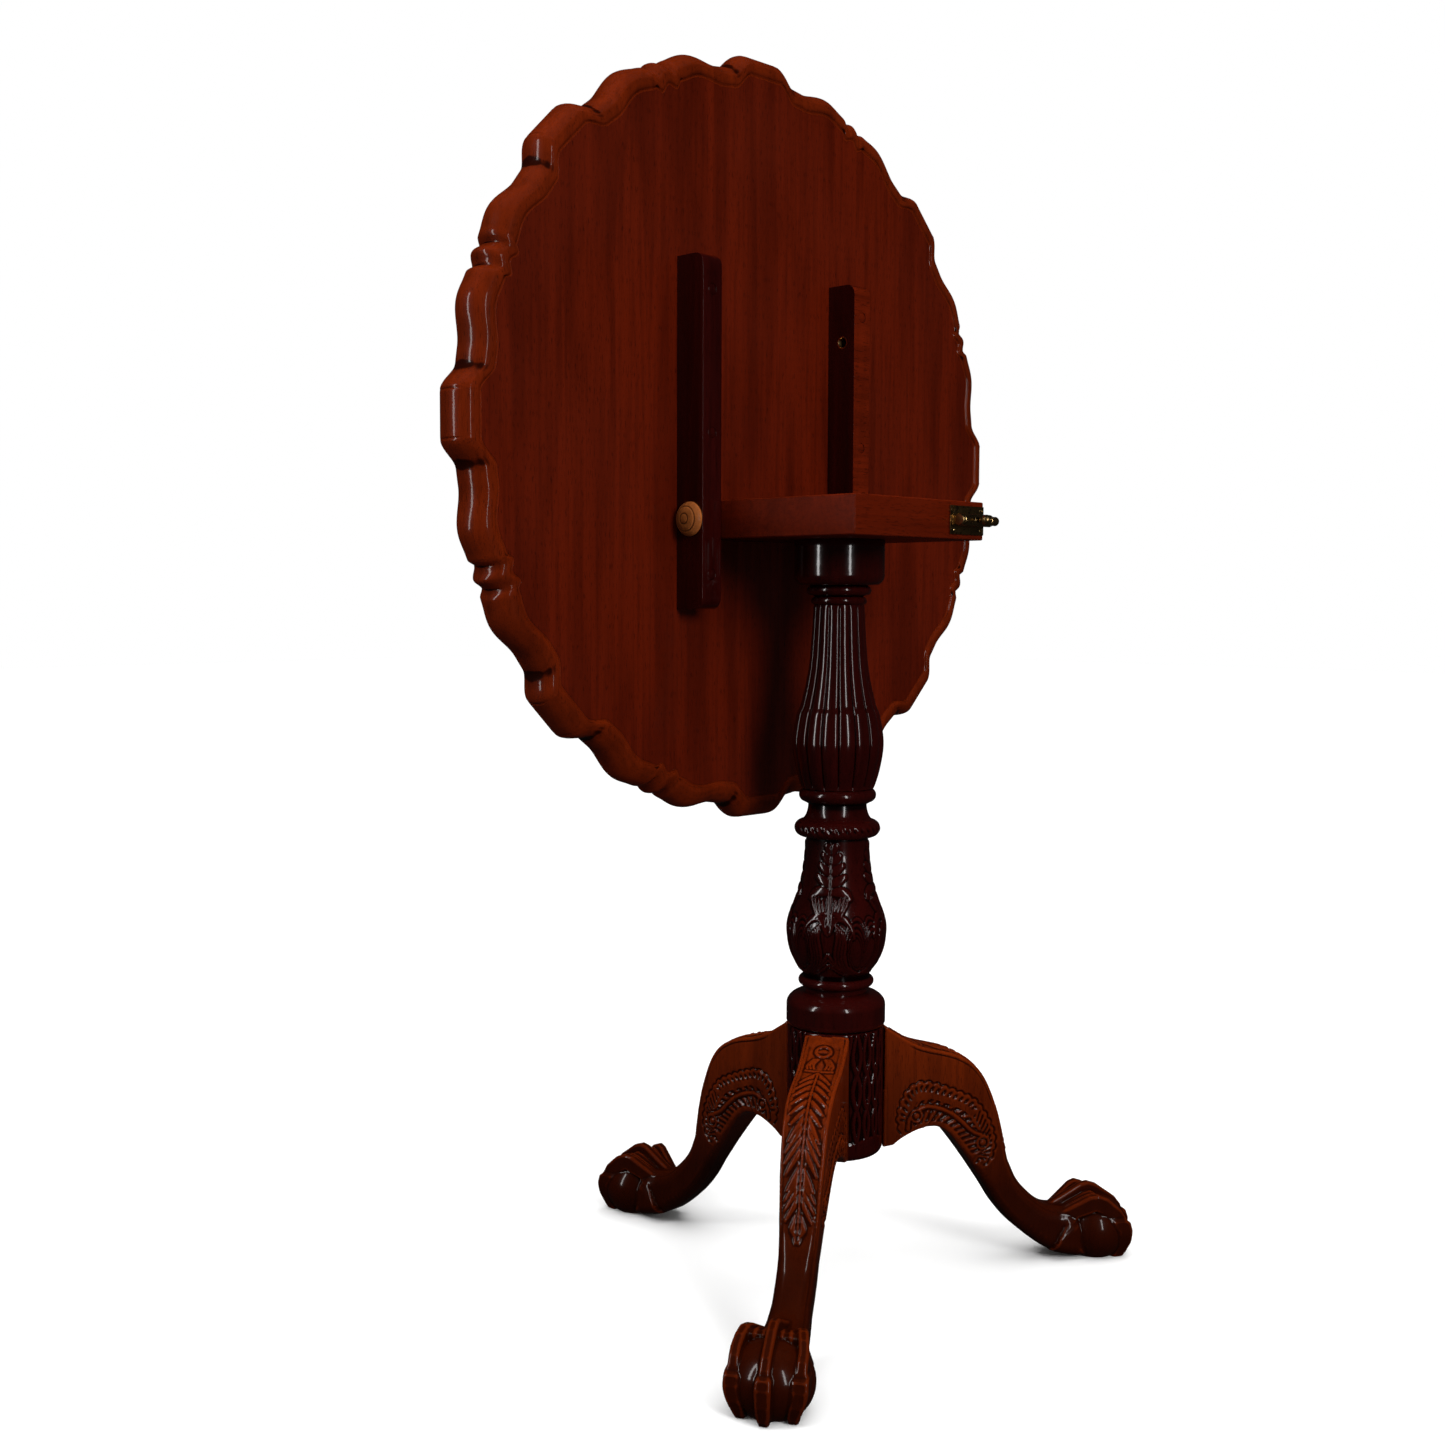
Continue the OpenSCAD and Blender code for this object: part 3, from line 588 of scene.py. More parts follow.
def aged_metal(name, bright, tarnish, rough=0.3, spots=0.6):
    """Metal with handled bright parts, dull tarnish in patches and hollows, and fine scuffs."""
    material, tree, shader = clean_material(name)
    place = add(tree, "ShaderNodeTexCoord").outputs["Object"]
    patch = noise(tree, place, 160.0, 4.0, 0.4)
    speck = noise(tree, place, 900.0, 3.0)
    colour = blend_colours(tree, step_of(tree, patch, 0.42, 0.68, spots), bright, tarnish)
    colour = blend_colours(tree, step_of(tree, speck, 0.56, 0.70, 0.5), colour, tarnish)
    relief = add(tree, "ShaderNodeAttribute", attribute_name="relief").outputs["Fac"]
    hollow = add(tree, "ShaderNodeMath", {0: relief, 1: -1.0}, operation="MULTIPLY").outputs[0]
    deep = tuple(0.25 * c for c in tarnish[:3]) + (1.0,)
    colour = blend_colours(tree, step_of(tree, hollow, 0.05, 0.8, 0.8), colour, deep)
    tree.links.new(colour, shader.inputs["Base Color"])
    shader.inputs["Metallic"].default_value = 1.0
    dull = add(tree, "ShaderNodeMapRange",
               {"Value": patch, "From Min": 0.35, "From Max": 0.7,
                "To Min": 0.75 * rough, "To Max": 1.8 * rough})
    tree.links.new(dull.outputs[0], shader.inputs["Roughness"])
    scuff = noise(tree, stretched(tree, place, "x", 0.1), 2200.0, 2.0)
    bump = add(tree, "ShaderNodeBump", {"Strength": 0.2, "Distance": 0.0001, "Height": scuff})
    tree.links.new(bump.outputs[0], shader.inputs["Normal"])
    return material


def wrought_iron(name, colour):
    """Blackened iron with a hammered, slightly rusted skin."""
    material, tree, shader = clean_material(name)
    place = add(tree, "ShaderNodeTexCoord").outputs["Object"]
    dent = add(tree, "ShaderNodeTexVoronoi", {"Vector": place, "Scale": 170.0})
    patch = noise(tree, place, 90.0, 4.0)
    rust = (0.12, 0.045, 0.018, 1.0)
    mixed = blend_colours(tree, step_of(tree, patch, 0.55, 0.75, 0.6), colour, rust)
    tree.links.new(mixed, shader.inputs["Base Color"])
    shader.inputs["Metallic"].default_value = 0.7
    dull = step_of(tree, patch, 0.3, 0.8, 0.75)
    tree.links.new(dull, shader.inputs["Roughness"])
    bump = add(tree, "ShaderNodeBump",
               {"Strength": 0.4, "Distance": 0.0006, "Height": dent.outputs["Distance"]})
    tree.links.new(bump.outputs[0], shader.inputs["Normal"])
    return material


def floor_paint(name, colour):
    """Plain pale studio floor."""
    material, tree, shader = clean_material(name)
    place = add(tree, "ShaderNodeTexCoord").outputs["Object"]
    soft = noise(tree, place, 3.0, 2.0)
    shade_of = tuple(0.985 * c for c in colour[:3]) + (1.0,)
    tree.links.new(blend_colours(tree, soft, colour, shade_of), shader.inputs["Base Color"])
    shader.inputs["Roughness"].default_value = 0.9
    shader.inputs["Specular IOR Level"].default_value = 0.1
    return material


# ------------------------------------------------------------------ settings


def distance(name, description, default_mm):
    """Length property, kept in metres."""
    return bpy.props.FloatProperty(name=name, description=description,
                                   default=default_mm * MM, unit="LENGTH", precision=4)


def tint(name, description, default):
    """Colour property."""
    return bpy.props.FloatVectorProperty(name=name, description=description, size=4,
                                         subtype="COLOR", min=0, max=1, default=(*default, 1.0))


class TableTopSizes(bpy.types.PropertyGroup):
    """Sizes of the top and its moulded edge."""

    rim_width: distance("Rim width", "Width of the moulded rim", P.rim_w)
    scallop_depth: distance("Scallop depth", "Depth of the deepest scallop", 13)
    chamfer: distance("Panel chamfer", "Chamfer that shows the joint round the panel", 0.35)
    crease: distance("Crease depth", "Depth of the cuts across the moulding", 0.8)


class TablePillarSizes(bpy.types.PropertyGroup):
    """Sizes of the turned and carved pillar."""

    base_radius: distance("Base radius", "Radius of the base that the legs join", 43)
    base_height: distance("Base height", "Height of the base that the legs join", 116)
    drum_radius: distance("Drum radius", "Radius of the drum above the legs", 44.5)
    urn_radius: distance("Urn radius", "Greatest radius of the carved urn", 43.4)
    neck_radius: distance("Neck radius", "Radius of the neck above the urn", 27.6)
    column_radius: distance("Column radius", "Greatest radius of the reeded column", 40.7)
    column_top: distance("Column top", "Radius of the reeded column's upper end", 22.4)
    collar_radius: distance("Collar radius", "Radius of the collar under the block", 40.3)
    leaf_height: distance("Leaf height", "How far the urn's leaves stand out", 1.5)
    reeds: bpy.props.IntProperty(name="Reeds", description="Number of reeds round the column",
                                 default=16, min=8, max=32)


class TableLegSizes(bpy.types.PropertyGroup):
    """Sizes of the cabriole legs and their carving."""

    stance: distance("Stance", "Distance from the pillar's axis to a foot's middle", 261)
    knee_width: distance("Knee width", "Width of each leg at the knee", 40)
    ankle_width: distance("Ankle width", "Width of each leg at the ankle", 32)
    ball_radius: distance("Ball radius", "Radius of the ball in each foot", 33)
    carving: distance("Carving height", "Height of the leaves on the front face", 1.5)
    grid: distance("Grid", "Spacing of the grid that the legs are carved on", 0.97)


class TableFinishes(bpy.types.PropertyGroup):
    """Colours of the finishes."""

    panel: tint("Panel", "Ground colour of the top", (0.082, 0.0062, 0.0009))
    rim: tint("Rim", "Ground colour of the moulded edge", (0.098, 0.0092, 0.0009))
    block: tint("Block", "Ground colour of the block", (0.090, 0.0070, 0.0008))
    dark: tint("Dark wood", "Ground colour of the pillar and battens", (0.021, 0.0014, 0.0010))
    carved: tint("Carved wood", "Ground colour of the legs", (0.132, 0.0145, 0.0010))
    pins: tint("Pins", "Ground colour of the turned pins", (0.29, 0.085, 0.020))
    brass: tint("Brass", "Colour of the handled brass", (0.56, 0.36, 0.15))
    tarnish: tint("Tarnish", "Colour of the dull brass", (0.10, 0.045, 0.018))
    iron: tint("Iron", "Colour of the blackened iron", (0.03, 0.028, 0.027))
    steel: tint("Steel", "Colour of the screws and spring", (0.36, 0.35, 0.34))


class TableStage(bpy.types.PropertyGroup):
    """Camera, lights and floor."""

    camera_azimuth: bpy.props.FloatProperty(
        name="Camera azimuth", description="Direction of the camera round the table, 0 in front",
        default=math.radians(-49.79), subtype="ANGLE")
    camera_distance: distance("Camera distance", "From the pillar's axis, level", 1505.1)
    camera_height: distance("Camera height", "Above the floor", 615.0)
    camera_yaw: bpy.props.FloatProperty(
        name="Camera yaw", description="Turn of the camera away from the pillar",
        default=math.radians(3.93), subtype="ANGLE")
    camera_pitch: bpy.props.FloatProperty(
        name="Camera pitch", description="Tilt of the camera above the horizon",
        default=math.radians(-4.07), subtype="ANGLE")
    camera_roll: bpy.props.FloatProperty(
        name="Camera roll", description="Turn of the camera about its own line of sight",
        default=math.radians(0.20), subtype="ANGLE")
    lens: bpy.props.FloatProperty(name="Lens", description="Focal length", default=42.02,
                                  subtype="DISTANCE_CAMERA")
    strip_power: bpy.props.FloatProperty(name="Strip lights", description="Power of each tall box",
                                         default=17.0, unit="POWER")
    key_power: bpy.props.FloatProperty(name="Key light", description="Power of the main soft box",
                                       default=14.0, unit="POWER")
    top_power: bpy.props.FloatProperty(
        name="Top light", description="Strength of the light overhead",
                                       default=3.2, min=0.0)
    floor_colour: tint("Floor", "Colour of the floor", (0.92, 0.92, 0.92))


def mm(length):
    """A length property's value in millimetres."""
    return length / MM


finishes = {}


def finish(name):
    """Material of one of the table's finishes, made when it is first asked for."""
    if name in finishes:
        return finishes[name]
    c = bpy.context.scene.table_finishes
    shade_of = {"panel": c.panel, "rim": c.rim, "block": c.block, "dark": c.dark,
                "carved": c.carved, "pins": c.pins}
    if name in shade_of:
        light = tuple(shade_of[name])
        dark = tuple(0.45 * v for v in light[:3]) + (1.0,)
        along = {"block": "x", "pins": "x"}.get(name, "z")
        extra = {"panel": {"gloss": 0.4, "figure": 0.7, "polish": 0.12, "sheen_and_wear": 0.1},
                 "rim": {"gloss": 0.34, "sheen_and_wear": 0.25, "polish": 0.32, "shine": 0.03},
                 "block": {"gloss": 0.42, "polish": 0.05, "sheen_and_wear": 0.3, "shine": 0.04},
                 "dark": {"gloss": 0.2, "polish": 0.8, "sheen_and_wear": 0.3},
                 # the carved legs get painted shade towards the floor
                 "carved": {"gloss": 0.3, "sheen_and_wear": 0.22, "polish": 0.5, "low_painted_shade": 0.92,
                            "shine": 0.04},
                 "pins": {"gloss": 0.4, "polish": 0.2, "sheen_and_wear": 0.3}}[name]
        made = mahogany("Mahogany " + name, light, dark, along=along, **extra)
    elif name == "brass":
        made = aged_metal("Aged brass", tuple(c.brass), tuple(c.tarnish), rough=0.3)
    elif name == "steel":
        made = aged_metal("Screw steel", tuple(c.steel), (0.12, 0.10, 0.09, 1.0), rough=0.32)
    else:
        made = wrought_iron("Blackened iron", tuple(c.iron))
    finishes[name] = made
    return made


# ------------------------------------------------------------------ the top

# Outline of the edge: degrees from the middle of a flat, and share of the scallop's depth
EDGE_MARKS = [(3.2, 0), (7.2, 1), (9.5, 1), (16, 0.33), (19.6, 0.5), (20.8, 0.87), (22.5, 0.5)]
FLAT_END = 3.2
BEAD_NOTCH = 20.8
HALF_SCALLOP = 22.5


def edge_radius(angle, depth):
    """Radius of the top's edge at angles in degrees from 0 to 45."""
    a = np.minimum(angle, 2 * HALF_SCALLOP - angle)
    marks = np.array(EDGE_MARKS, float)
    i = np.clip(np.searchsorted(marks[:, 0], a) - 1, 0, len(marks) - 2)
    t = np.clip((a - marks[i, 0]) / (marks[i + 1, 0] - marks[i, 0]), 0, 1)
    share = marks[i, 1] + (marks[i + 1, 1] - marks[i, 1]) * (1 - np.cos(math.pi * t)) / 2
    chord = P.top_r / np.cos(np.radians(a))
    corner = P.top_r / math.cos(math.radians(FLAT_END))
    return np.where(a <= FLAT_END, chord, corner - depth * share)


def edge_angles():
    """Angles of the stations round one of the eight repeats, closer at the creases."""
    marks = [FLAT_END, BEAD_NOTCH, HALF_SCALLOP, 45 - BEAD_NOTCH, 45 - FLAT_END]
    close = [m + d for m in marks for d in np.linspace(-0.7, 0.7, 15)]
    angles = np.unique(np.round(np.concatenate([np.linspace(0, 45, 101), close]), 4))
    return angles[(angles >= 0) & (angles <= 45)]


def rim_outline(w):
    """Section of the moulding: distance inside the edge, and height above the underside."""
    t, up, drop = P.panel_t, P.rim_rise, P.rim_drop
    ridge = smooth_curve([
        (0.90 * w, 0.1), (0.84 * w, -0.75 * drop), (0.72 * w, -drop), (0.56 * w, -0.35 * drop),
        (0.42 * w, 0.05 * t), (0.18 * w, 0.28 * t), (0.04 * w, 0.58 * t), (0, 0.88 * t),
        (0.03 * w, t + 0.25 * up), (0.17 * w, t + 0.72 * up), (0.38 * w, t + up),
        (0.60 * w, t + 0.88 * up), (0.78 * w, t + 0.45 * up), (0.93 * w, t + 0.06 * up)], 3)
    groove = [(w, 0.35), (0.945 * w, 0.75)]
    return np.vstack([groove, ridge, [(w, t)], [(w, 0.5 * t)]])


def crust_unit(sizes):
    """One eighth of the moulded edge, drawn for the closed top about Z."""
    w, depth, cut = mm(sizes.rim_width), mm(sizes.scallop_depth), mm(sizes.crease)
    angle = edge_angles()
    radius = edge_radius(angle, depth)
    section = rim_outline(w)
    inside, height = section[:, 0][None, :], section[:, 1][None, :]
    r = radius[:, None] - inside
    z = height + 0 * r
    tangent = np.gradient(section, axis=0)
    length = np.linalg.norm(tangent, axis=1) + 1e-9
    out_r, out_z = tangent[:, 1] / length, tangent[:, 0] / length
    mirrored = np.minimum(angle, 2 * HALF_SCALLOP - angle)[:, None]
    slant = 0.5 * inside / w
    arc = np.radians(1.0) * P.top_r
    flat_cut = hump((mirrored - FLAT_END - 0.5 * slant) * arc, 0.9)
    notch = hump((mirrored - BEAD_NOTCH + slant) * arc, 1.1)
    bead = hump((mirrored - HALF_SCALLOP) * arc, 4.5)
    plump = hump((mirrored - 15.5) * arc, 22.0) + 0.5 * hump((mirrored - 5.6) * arc, 7.0)
    shown = rise(0.02 * w, 0.25 * w, w - inside) * rise(0.0, 4.0, height + P.rim_drop + 0.5)
    moved = shown * (0.9 * plump + 0.7 * bead - cut * flat_cut - 1.3 * cut * notch - 0.9)
    r = r + moved * out_r[None, :]
    z = z - moved * out_z[None, :]
    a = np.radians(angle)[:, None]
    points = np.stack([r * np.cos(a), r * np.sin(a), z], axis=-1)
    points = np.concatenate([points, points[:, :1]], axis=1)
    quads = grid_quads(points.shape[0], points.shape[1])
    return mesh_from_quads("Crust unit", points.reshape(-1, 3), quads)


def tilt_up(piece):
    """Moves a piece drawn for the closed top to where it stands upright."""
    mesh = piece.data
    at = np.zeros(len(mesh.vertices) * 3, np.float32)
    mesh.vertices.foreach_get("co", at)
    stood = stood_up(at.reshape(-1, 3) / MM) * MM
    mesh.vertices.foreach_set("co", stood.astype(np.float32).ravel())
    mesh.update()
    return piece


def crust_edge(sizes):
    """Scalloped, moulded edge round the top, repeated eight times."""
    piece = repeat_round("crust_edge", crust_unit(sizes), 8, finish("rim"))
    wrap(tilt_up(piece))
    mark_relief(shade(piece, 50), 8, 0.35)
    return finish_piece(piece, finish("rim"), "mahogany_rim", "pie_crust_rim")


def panel_board(sizes):
    """Flat board inside the moulding, with a fine chamfer round both faces."""
    angle = np.concatenate([edge_angles()[:-1] + 45 * n for n in range(8)])
    inner = edge_radius(angle % 45, mm(sizes.scallop_depth)) - P.rim_w
    small = mm(sizes.chamfer)
    a = np.radians(angle)
    rings = []
    for inset, z in [(small, 0), (0, small), (0, P.panel_t - small), (small, P.panel_t)]:
        r = inner - inset
        rings.append(np.column_stack([r * np.cos(a), r * np.sin(a), np.full(len(a), z)]))
    n = len(a)
    sides = [(k * n + i, k * n + (i + 1) % n, (k + 1) * n + (i + 1) % n, (k + 1) * n + i)
             for k in range(3) for i in range(n)]
    caps = [tuple(range(n)), tuple(range(3 * n, 4 * n))]
    mesh = bpy.data.meshes.new("panel_board")
    mesh.from_pydata((stood_up(np.vstack(rings)) * MM).tolist(), [], sides + caps)
    piece = shade(wrap(piece_from("panel_board", mesh)), 20)
    return finish_piece(piece, finish("panel"), "mahogany_panel", "top_panel")


def lighter_faces(piece, chosen):
    """Gives the chosen faces of a finished piece the block's finish."""
    piece.data.materials.append(finish("block"))
    for face in piece.data.polygons:
        face.material_index = int(chosen(face))


def batten_bar(name, side, node):
    """One batten under the top, round-ended, bored for its pin and for the keeper."""
    low, high = node_box(node)
    r = 10.0
    y0, y1, z0, z1 = low[1], high[1], low[2], high[2]
    turn = np.radians(np.arange(0, 91, 9))
    lower = np.column_stack([y0 + r - r * np.cos(turn), z0 + r - r * np.sin(turn)])
    upper = np.column_stack([y0 + r - r * np.sin(turn), z1 - r + r * np.cos(turn)])
    outline = np.vstack([[(y1, z1)], upper, lower, [(y1, z0)]])
    bar = slab(name, outline, low[0], high[0])
    mid = (low[0] + high[0]) / 2
    holes = []
    pin_r = PIN_R + 0.1
    holes.append(lathe("Pin hole", [(0, -20), (pin_r, -20), (pin_r, 20), (0, 20)],
                       (mid, P.pivot_y, P.pivot_z), "x", 64))
    if side > 0:
        k = P.keeper_low, P.keeper_high
        keeper_r = (k[1][1] - k[0][1]) / 2
        centre = (k[0] + k[1]) / 2
        deep = k[1][0] - k[0][0]
        holes.append(lathe("Keeper hole", [(0, -deep), (keeper_r, -deep), (keeper_r, deep / 2),
                                           (0, deep / 2)], centre, "x", 64))
    plug_low, _ = node_box("batten_plugs")
    for z in plug_heights():
        holes.append(lathe("Plug hole", [(0, -3), (PLUG_R, -3), (PLUG_R, 6), (0, 6)],
                           (mid, plug_low[1], z), "y", 40))
    cut_away(bar, *holes)
    bevelled(bar, 1.1, 3, 40)
    shade(bar, 40)
    finish_piece(bar, finish("dark"), "mahogany_dark", node)
    if side > 0:
        lighter_faces(bar, lambda face: face.normal.y < -0.6)
    return bar


PIN_R = 8.0
PLUG_R = 4.8
BATTEN_SCREW_SHARE = 0.4


def plug_heights():
    """Heights of the three fixings of each batten."""
    mid = (P.batten_low[2] + P.batten_high[2]) / 2
    length = P.batten_high[2] - P.batten_low[2]
    return [mid - BATTEN_SCREW_SHARE * length, mid, mid + BATTEN_SCREW_SHARE * length]


def batten_middles():
    """Middle of each batten's width, left then right."""
    mid = (P.batten_low[0] + P.batten_high[0]) / 2
    return [-mid, mid]


def wood_screw_unit(name, r, length, head_r, way):
    """Slotted countersunk screw with its head's flat at the origin and its point along way."""
    head_h = head_r - r
    pitch = 1.3 * r
    rows = [(0, 0.0), (0.94 * head_r, 0.0), (head_r, 0.12), (r, head_h)]
    z = head_h + pitch
    while z < length - 2 * pitch:
        rows += [(r, z), (0.72 * r, z + pitch / 2)]
        z += pitch
    rows += [(0.5 * r, length - pitch), (0, length)]
    axis = "xyz"[int(np.argmax(np.abs(way)))]
    sign = float(np.sum(way))
    rows = [(a, sign * b) for a, b in rows]
    screw = lathe(name, rows, (0, 0, 0), axis, 24)
    low = np.array([-1.2 * head_r, -1.2 * head_r, -0.35 * r])
    high = -low
    depth = 0.45 * head_h + 0.25
    if axis == "y":
        low, high = np.array([low[0], -1, low[2]]), np.array([high[0], depth, high[2]])
    else:
        low, high = np.array([low[0], low[2], -1]), np.array([high[0], high[2], depth])
    if sign < 0:
        k = "xyz".index(axis)
        low[k], high[k] = -high[k], -low[k]
    slot = slab("Slot", rectangle(low[0], low[1], high[0], high[1]), low[2], high[2], "z")
    return cut_away(screw, slot)


def batten_fixings():
    """Screws that hold the battens, sunk under plugs of the same wood."""
    low, high = node_box("batten_screws")
    places = [(x, low[1], z) for x in batten_middles() for z in plug_heights()]
    unit = wood_screw_unit("Batten screw", 2.0, high[1] - low[1], 4.2, (0, 1, 0))
    screws = shade(copies_at("batten_fixings", places, unit, finish("steel")))
    finish_piece(screws, finish("steel"), "steel", "batten_screws")
    low, high = node_box("batten_plugs")
    deep = high[1] - low[1]
    places = [(x, low[1], z) for x in batten_middles() for z in plug_heights()]
    r = PLUG_R - 0.1
    rows = [(0, 0.25), (r - 0.5, 0.25), (r - 0.1, 0.6), (r, 1.2), (r, deep), (0, deep)]
    unit = lathe("Plug", rows, (0, 0, 0), "y", 36)
    plugs = shade(copies_at("batten_end_plugs", places, unit, finish("dark"), 0.7, (0, 1, 0)), 50)
    finish_piece(plugs, finish("dark"), "mahogany_dark", "batten_plugs")
    lighter_faces(plugs, lambda face: face.center.x > 0)


def turned_pin(name, side, node):
    """Turned hinge pin: a plain shank and a domed head with two scored rings."""
    low, high = node_box(node)
    head_r = (high[2] - low[2]) / 2
    reach = max(abs(low[0]), abs(high[0]))
    seat = abs(P.batten_high[0])
    inner = min(abs(low[0]), abs(high[0]))
    rise_h = reach - seat
    rows = [(0, inner), (PIN_R - 0.8, inner), (PIN_R, inner + 0.8), (PIN_R, seat + 0.05),
            (head_r - 1.2, seat + 0.05), (head_r, seat + 0.9)]
    for deg in np.arange(8, 91, 4.0):
        a = math.radians(deg)
        r = head_r * math.cos(a)
        dip = 0.55 * hump(r - 0.72 * head_r, 0.5) + 0.4 * hump(r - 0.3 * head_r, 0.5)
        rows.append((max(r, 0.0), seat + 0.9 + (rise_h - 0.9) * math.sin(a) - dip))
    rows[-1] = (0, reach)
    rows = [(r, side * x) for r, x in rows]
    pin = lathe(name, rows, (0, P.pivot_y, P.pivot_z), "x", 72)
    mark_relief(shade(pin, 35), 3, 0.15)
    return finish_piece(pin, finish("pins"), "pale_hardwood", node)


def keeper_bush():
    """Brass ring let into the batten for the bolt."""
    low, high = P.keeper_low, P.keeper_high
    outer = (high[1] - low[1]) / 2
    inner = outer - 1.4
    deep = high[0] - low[0]
    rows = [(inner + 0.3, -deep / 2), (outer - 0.1, -deep / 2), (outer - 0.1, deep / 2),
            (inner, deep / 2), (inner, -deep / 2 + 0.4), (inner + 0.3, -deep / 2)]
    bush = lathe("keeper_bush", rows, (low + high) / 2, "x", 56)
    return finish_piece(shade(bush, 40), finish("brass"), "brass", "keeper_ring")


# ------------------------------------------------------------------ the block and its latch


def hinge_block():
    """Thick block on the pillar, rounded about the hinge line, bored for the tenon."""
    low, high = P.block_low, P.block_high
    half = P.block_t / 2
    turn = np.radians(np.arange(0, 91, 7.5))
    back = np.column_stack([P.pivot_y + half * np.cos(turn), P.pivot_z + half * np.sin(turn)])
    outline = np.vstack([[(low[1], low[2]), (high[1], low[2])], back, [(low[1], high[2])]])
    block = slab("hinge_block", outline, low[0], high[0])
    tenon_r = P.tenon_r
    deep = 1.5 * P.block_t
    bore = lathe("Bore", [(0, -deep), (tenon_r, -deep), (tenon_r, deep), (0, deep)],
                 (0, 0, P.pivot_z), "z", 96)
    cut_away(block, bore)
    bevelled(block, 1.3, 3, 40)
    shade(block, 40)
    return finish_piece(block, finish("block"), "mahogany_block", "pillar_block")


def tenon_wedge_piece():
    """Wedge of pale wood driven into the tenon's end."""
    low, high = P.wedge_low, P.wedge_high
    top = (high[0] - low[0]) / 2
    foot = 0.4 * top
    proud = 0.25
    outline = [(-foot, low[2]), (foot, low[2]), (top, high[2] + proud), (-top, high[2] + proud)]
    wedge = slab("wedge_in_tenon", outline, low[1] + 0.3, high[1] - 0.3, "y")
    bevelled(wedge, 0.15, 1, 40)
    return finish_piece(shade(wedge), finish("pins"), "pale_hardwood", "tenon_wedge")


def lock_plate():
    """Brass plate with softened edges and the saddle that carries the barrel."""
    low, high = P.plate_low, P.plate_high
    thick = 1.6
    face = P.block_low[1] - thick
    corners = rectangle(low[0], low[2], high[0], high[2])
    plate = slab("lock_plate", corners, face, P.block_low[1], "y")
    holes = [lathe("Screw hole", [(0, 1), (1.2, 1), (2.3, -0.15), (2.3, -3), (0, -3)],
                   (x, face + 0.15, z), "y", 32) for x, z in latch_screw_spots()]
    cut_away(plate, *holes)
    bevelled(plate, 0.45, 2, 40)
    saddle_x = P.barrel_low[0] + 0.6, P.barrel_high[0] - 0.6
    y1 = face + 0.3
    y0 = (P.barrel_low[1] + P.barrel_high[1]) / 2
    mid = P.pivot_z
    turn = np.radians(np.linspace(0, 90, 7))
    upper = np.column_stack([y1 - 2.6 * (1 - np.sin(turn)),
                             mid + 3.4 + 2.6 * (1 - np.cos(turn))])
    lower = upper[::-1] * [1, -1] + [0, 2 * mid]
    outline = np.vstack([[(y0, mid + 3.4)], upper, [(y1, mid + 6.0)], [(y1, mid - 6.0)], lower,
                         [(y0, mid - 3.4)]])
    saddle = slab("Saddle", outline, *saddle_x)
    bevelled(saddle, 0.3, 2, 50)
    added(plate, saddle)
    return finish_piece(shade(plate, 40), finish("brass"), "brass", "latch_plate")


LATCH_SCREW_EDGE = 4.0


def latch_screw_spots():
    """X and Z of the four latch screws."""
    low, high = P.plate_low, P.plate_high
    return [(x, z) for x in (low[0] + LATCH_SCREW_EDGE, high[0] - LATCH_SCREW_EDGE)
            for z in (low[2] + LATCH_SCREW_EDGE, high[2] - LATCH_SCREW_EDGE)]


def lock_screws():
    """Four slotted brass screws in the lock plate's corners."""
    low, high = node_box("latch_plate_screws")
    places = [(x, low[1] + 0.1, z) for x, z in latch_screw_spots()]
    unit = wood_screw_unit("Latch screw", 1.05, high[1] - low[1] - 0.2, 2.15, (0, 1, 0))
    screws = shade(copies_at("lock_screws", places, unit, finish("brass"), 0.9, (0, 1, 0)))
    return finish_piece(screws, finish("brass"), "brass", "latch_plate_screws")


def lock_barrel():
    """Brass tube for the bolt, closed at one end, with a slot for the knob's stem."""
    low, high = P.barrel_low, P.barrel_high
    r = (high[2] - low[2]) / 2
    bore = (P.bolt_high[2] - P.bolt_low[2]) / 2 + 0.06
    length = high[0] - low[0]
    c = (low[0], (low[1] + high[1]) / 2, P.pivot_z)
    rows = [(0, 0.0), (r - 0.8, 0.0), (r, 0.8), (r, 2.4), (r - 0.45, 2.9),
            (r - 0.45, 3.6), (r, 4.1), (r, length - 4.1), (r - 0.45, length - 3.6),
            (r - 0.45, length - 2.9),
            (r, length - 2.4), (r, length - 0.4), (r - 0.4, length), (bore + 0.2, length),
            (bore, length - 0.3), (bore, 1.5), (0, 1.5)]
    barrel = lathe("lock_barrel", rows, c, "x", 72)
    stem = (P.knob_low[0] + P.knob_high[0]) / 2
    slot_half = 2.2
    travel = frame_travel()
    corners = rectangle(stem - travel - slot_half, c[1] - 2 * r, stem + slot_half, c[1])
    slot = slab("Slot", corners, P.pivot_z - slot_half, P.pivot_z + slot_half, "z")
    cut_away(barrel, slot)
    mark_relief(shade(barrel, 35), 3, 0.2)
    return finish_piece(barrel, finish("brass"), "brass", "latch_barrel")


def frame_travel():
    """Travel of the bolt in millimetres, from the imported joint."""
    joint = next(j for j in frame["joints"] if j["name"] == "bolt_slide")
    return max(abs(v) for v in joint["range_m"]) / MM


